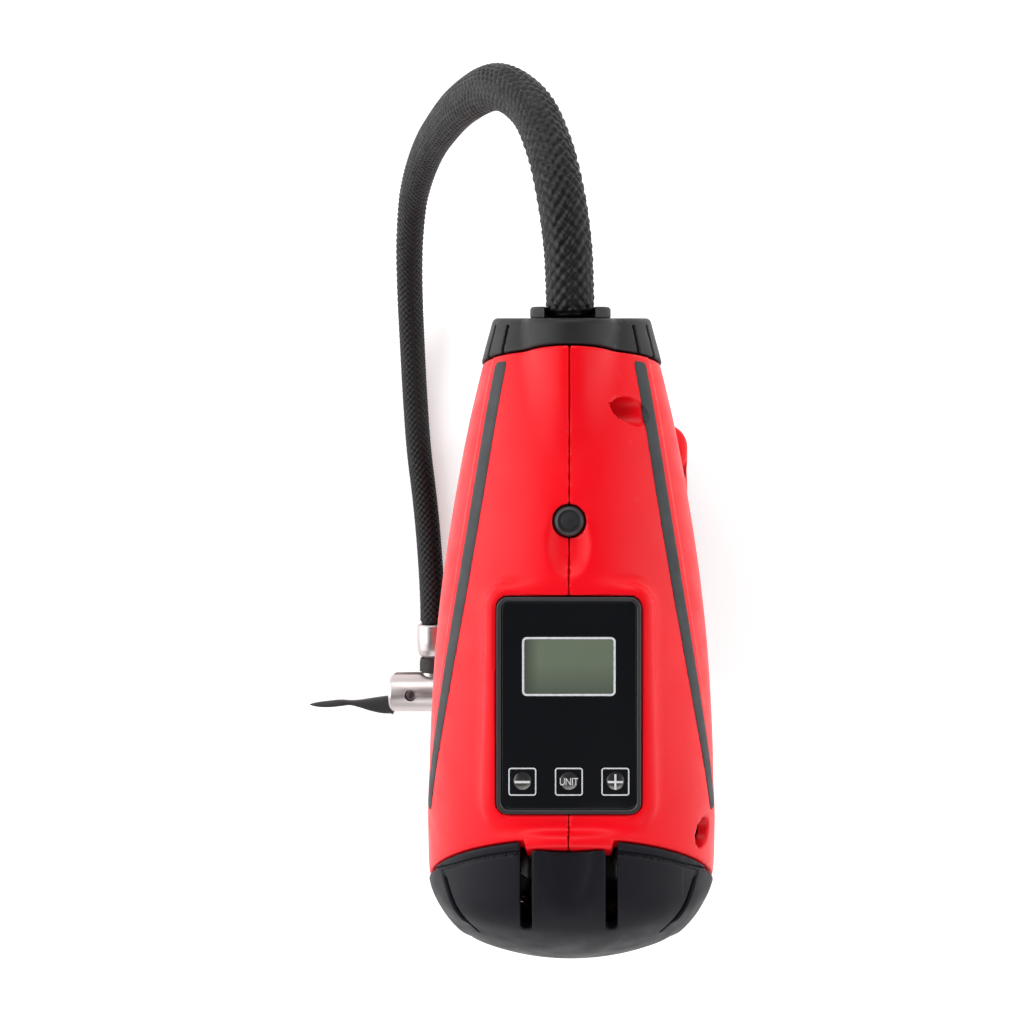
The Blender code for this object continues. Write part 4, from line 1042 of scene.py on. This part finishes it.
def casing():
    moulded("casing_left", left_casing, (-41, -76, 29), (0.6, 62.5, 193.5), CELL, "red_shell", "casing",
            "housing_left")
    moulded("casing_right", right_casing, (-0.6, -76, 29), (41, 62.5, 193.5), CELL, "red_shell", "casing",
            "housing_right")
    moulded("nose_collar", collar_field, (-21.5, 61, 138.5), (21.5, 76, 186), FINE, "charcoal", "casing",
            "front_collar")
    moulded("tail_cap", cap_field, (-33.5, -76, 130), (33.5, -33.5, 193.5), FINE * 0.78, "dark_cap",
            "casing", "rear_cap")
    for name, side, node in (("grip_skin_left", -1, "grip_cover_left"),
                             ("grip_skin_right", 1, "grip_cover_right")):
        xs = sorted((side * 21.0, side * -0.5))
        moulded(name, lambda x, y, z, s=side: cover_field(x, y, z, s), (xs[0], -44, 66), (xs[1], 2, 122),
                FINE, "rubber_inlay", "casing", node)
    moulded("finger_trigger", trigger_field, (-6.6, 3.6, 99.5), (6.6, 23.2, 125), FINE, "black_plastic",
            "trigger", "trigger")
    for name, side in (("stripe_left", -1), ("stripe_right", 1)):
        stripe(name, side)


def stripe(name, side):
    """Inlay that follows the barrel's skin, slightly crowned, with a bite out of it at the nose screw."""
    rows = []
    stations = 150
    for i in range(stations + 1):
        share = i / stations
        y = STRIPE_ENDS[0] + (STRIPE_ENDS[1] - STRIPE_ENDS[0]) * share
        from_end = min(share, 1 - share) * (STRIPE_ENDS[0] - STRIPE_ENDS[1])
        half = STRIPE_HALF * (0.75 + 0.25 * math.sqrt(min(max(from_end, 0.0) / 0.8, 1.0)))
        radius = float(barrel_radius(y))
        middle = math.radians(float(stripe_angle(y)))
        ring = []
        deep = -0.7 - 1.6 * float(step_up(4.6 - abs(y - WELLS[0][0]), 0.0, 0.8)) * (side > 0)
        for offset, height in ((-0.75, deep), (-0.75, -0.2), (-1, -0.2), (-1, 0.06), (-0.93, 0.13),
                               (-0.5, 0.17), (0, 0.19), (0.5, 0.17), (0.93, 0.13), (1, 0.06), (1, -0.2),
                               (0.75, -0.2), (0.75, deep)):
            angle = middle + offset * half / radius
            reach = radius + height
            ring.append((side * reach * math.cos(angle), y, AXIS_Z + reach * math.sin(angle)))
        rows.append(ring)
    piece = place(name + "_inlay", grid_mesh(name, rows), "rubber_inlay", "casing", name)
    if side > 0:
        profile = [(0, WELL_FLOOR), (2.9, WELL_FLOOR), (2.9, 40), (0, 40)]
        bite = lathe_mesh("bite", profile, (0, 0, 0), (1, 0, 0), 64)
        at = Vector((0, *WELLS[0])) * MM
        bite.transform(Matrix.Translation(at) @ Matrix.Diagonal((1, 1, WELL_FLATTEN, 1)))
        combine(piece, bite)


def light_button():
    profile = [(0, 182.7), (4.2, 182.7), (4.2, 183.4), (3.05, 183.5), (3.05, 186.9), (2.75, 187.5),
               (2.25, 187.7), (2.1, 187.45), (1.75, 187.4), (1.5, 187.65), (0.6, 187.8), (0, 187.82)]
    turned("lamp_button", profile, (0, LIGHT_Y, 0), (0, 0, 1), 72, "black_plastic", "light_button",
           "light_button")


def display():
    """Panel: raised rim, glossy window sheet, LCD with its outline, and three domed membrane keys."""
    centre = (0, PANEL_Y)
    rows = [ring_points(centre, 14.0, 21.0, 2.2, 187.8), ring_points(centre, 14.0, 21.0, 2.2, 189.9),
            ring_points(centre, 13.85, 20.85, 2.1, 190.1), ring_points(centre, 13.35, 20.35, 1.7, 190.1),
            ring_points(centre, 13.15, 20.15, 1.6, 189.85), ring_points(centre, 13.15, 20.15, 1.6, 188.9),
            ring_points(centre, 10.0, 14.0, 1.0, 188.9), ring_points(centre, 10.0, 14.0, 1.0, 187.8)]
    place("panel_rim", band_mesh("panel_rim", rows), "black_plastic", "casing", "display_bezel")
    sheet = slab("panel_sheet", centre, (13.0, 20.0), 1.5, 189.0, 189.9, 0.15, "gloss_panel", "casing",
                 "display_overlay")
    for index in (-1, 0, 1):
        at = (index * KEY_PITCH, KEY_Y)
        combine(sheet, grid_mesh("key_hole", [ring_points(at, 2.85, 2.85, 0.5, z, 3) for z in (188, 191)]))
    slab("lcd_glass", (0, LCD_Y), (LCD_HALF[0] - 0.5, LCD_HALF[1] - 0.5), 0.3, 189.86, 189.94, 0.02, "lcd",
         "casing", "lcd_module")
    line = frame_line("lcd_outline", (0, LCD_Y), LCD_HALF, 0.9, 0.42, 189.86, 189.96, "gloss_panel", "casing")
    line.data.materials[0] = printed()
    for index, name in ((-1, "key_minus"), (0, "key_unit"), (1, "key_plus")):
        key(name, index * KEY_PITCH)


def key(name, x):
    """Membrane key: a square with a printed outline, a raised dome whose light steel colour is a painted
    highlight, and its sign.
    """
    slab(name + "_cap", (x, KEY_Y), (2.73, 2.73), 0.5, 186.3, 189.88, 0.1, "gloss_panel", name, name, arc=4)
    outline = frame_line(name + "_outline", (x, KEY_Y), (2.7, 2.7), 0.55, 0.25, 189.8, 189.93,
                         "gloss_panel", name)
    outline.data.materials[0] = printed()
    dome = [(0, 189.7), (1.75, 189.7), (1.7, 189.9), (1.35, 190.02), (0.8, 190.09), (0, 190.11)]
    cap = turned(name + "_dome", dome, (x, KEY_Y + 0.15, 0), (0, 0, 1), 48, "gloss_panel", name)
    # The dome's light steel colour is a painted highlight on the black key film.
    cap.data.materials[0] = dome_steel()
    marks = {"key_minus": [(1.5, 0.22)], "key_plus": [(1.5, 0.2), (0.2, 1.5)], "key_unit": []}[name]
    for number, half in enumerate(marks):
        top = 190.16 + 0.004 * number
        bar = slab("%s_mark_%d" % (name, number), (x, KEY_Y), half, 0.1, 189.9, top, 0.02, "gloss_panel",
                   name, arc=2)
        bar.data.materials[0] = printed()
    if name == "key_unit":
        text = bpy.data.curves.new("unit_text", "FONT")
        text.body = "UNIT"
        text.size = 1.75 * MM
        text.align_x, text.align_y = "CENTER", "CENTER"
        text.extrude = 0.05 * MM
        text.space_character = 0.95
        thing = new_object("unit_text", text)
        mesh = evaluated_mesh(thing)
        bpy.data.objects.remove(thing, do_unlink=True)
        at = Vector((x, KEY_Y, 190.1)) * MM
        mesh.transform(Matrix.Translation(at) @ Matrix.Diagonal((0.92, 1.15, 1, 1)))
        word = place("unit_mark", mesh, "gloss_panel", name)
        word.data.materials[0] = printed()


def battery():
    cell = FINE * 1.4
    moulded("pack_lower", lower_case, (-41, -52, -0.5), (41, 61, 14.4), cell, "black_plastic", "battery",
            "battery_lower_case")
    moulded("pack_upper", upper_case, (-41, -52, 13.6), (41, 61, 43.6), cell, "black_plastic", "battery",
            "battery_upper_case")
    moulded("pack_release", release_field, (-12.6, 52.8, 16.4), (12.6, 62, 26.6), FINE, "red_shell",
            "battery_release", "battery_release")


def lamp():
    lens = [(0, 69.1), (4.2, 69.1), (4.2, 72.6), (3.7, 73.6), (2.4, 74.4), (0, 74.7)]
    turned("lamp_lens", lens, (0, 0, LAMP_Z), (0, 1, 0), 64, "clear_lens", "casing", "led_lens")


def screw(name):
    """Pan-head screw with a cross recess, at the bottom of its well."""
    low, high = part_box(name)
    y, z = (low.y + high.y) / 2 / MM, (low.z + high.z) / 2 / MM
    top = high.x / MM
    profile = [(0, top - 16.2), (0.5, top - 16.2), (1.4, top - 14.8)]
    for turn in range(9):
        at = top - 14.6 + turn * 1.3
        profile += [(1.15, at), (1.4, at + 0.5), (1.15, at + 1.0)]
    profile += [(1.3, top - 2.3), (2.6, top - 2.3), (2.7, top - 2.0), (2.6, top - 1.0), (2.0, top - 0.3),
                (1.0, top - 0.02), (0, top)]
    piece = turned(name + "_cross", profile, (0, y, z), (1, 0, 0), 40, "steel", "casing", name)
    for half_y, half_z in ((0.35, 1.5), (1.5, 0.35)):
        combine(piece, block_mesh("cross", (2.4, 2 * half_y, 2 * half_z), (top - 0.2, y, z)))


def finish_kept_nodes():
    """The CAD nodes that stay, mostly inside the casing, take their slot's material."""
    slots = {entry["node"]: entry["material_slot"] for entry in frame["record"]["subparts"]}
    for node, piece in frame["nodes"].items():
        if slots[node] in LOOKS:
            piece.data.materials.clear()
            piece.data.materials.append(LOOKS[slots[node]]())


studio()
flex, flex_path, flex_length = hose()
finish_kept_nodes()
on_hose = chuck()
gland()
casing()
light_button()
display()
lamp()
battery()
for screw_name in ("screw_nose", "screw_tail", "screw_grip", "screw_foot"):
    screw(screw_name)
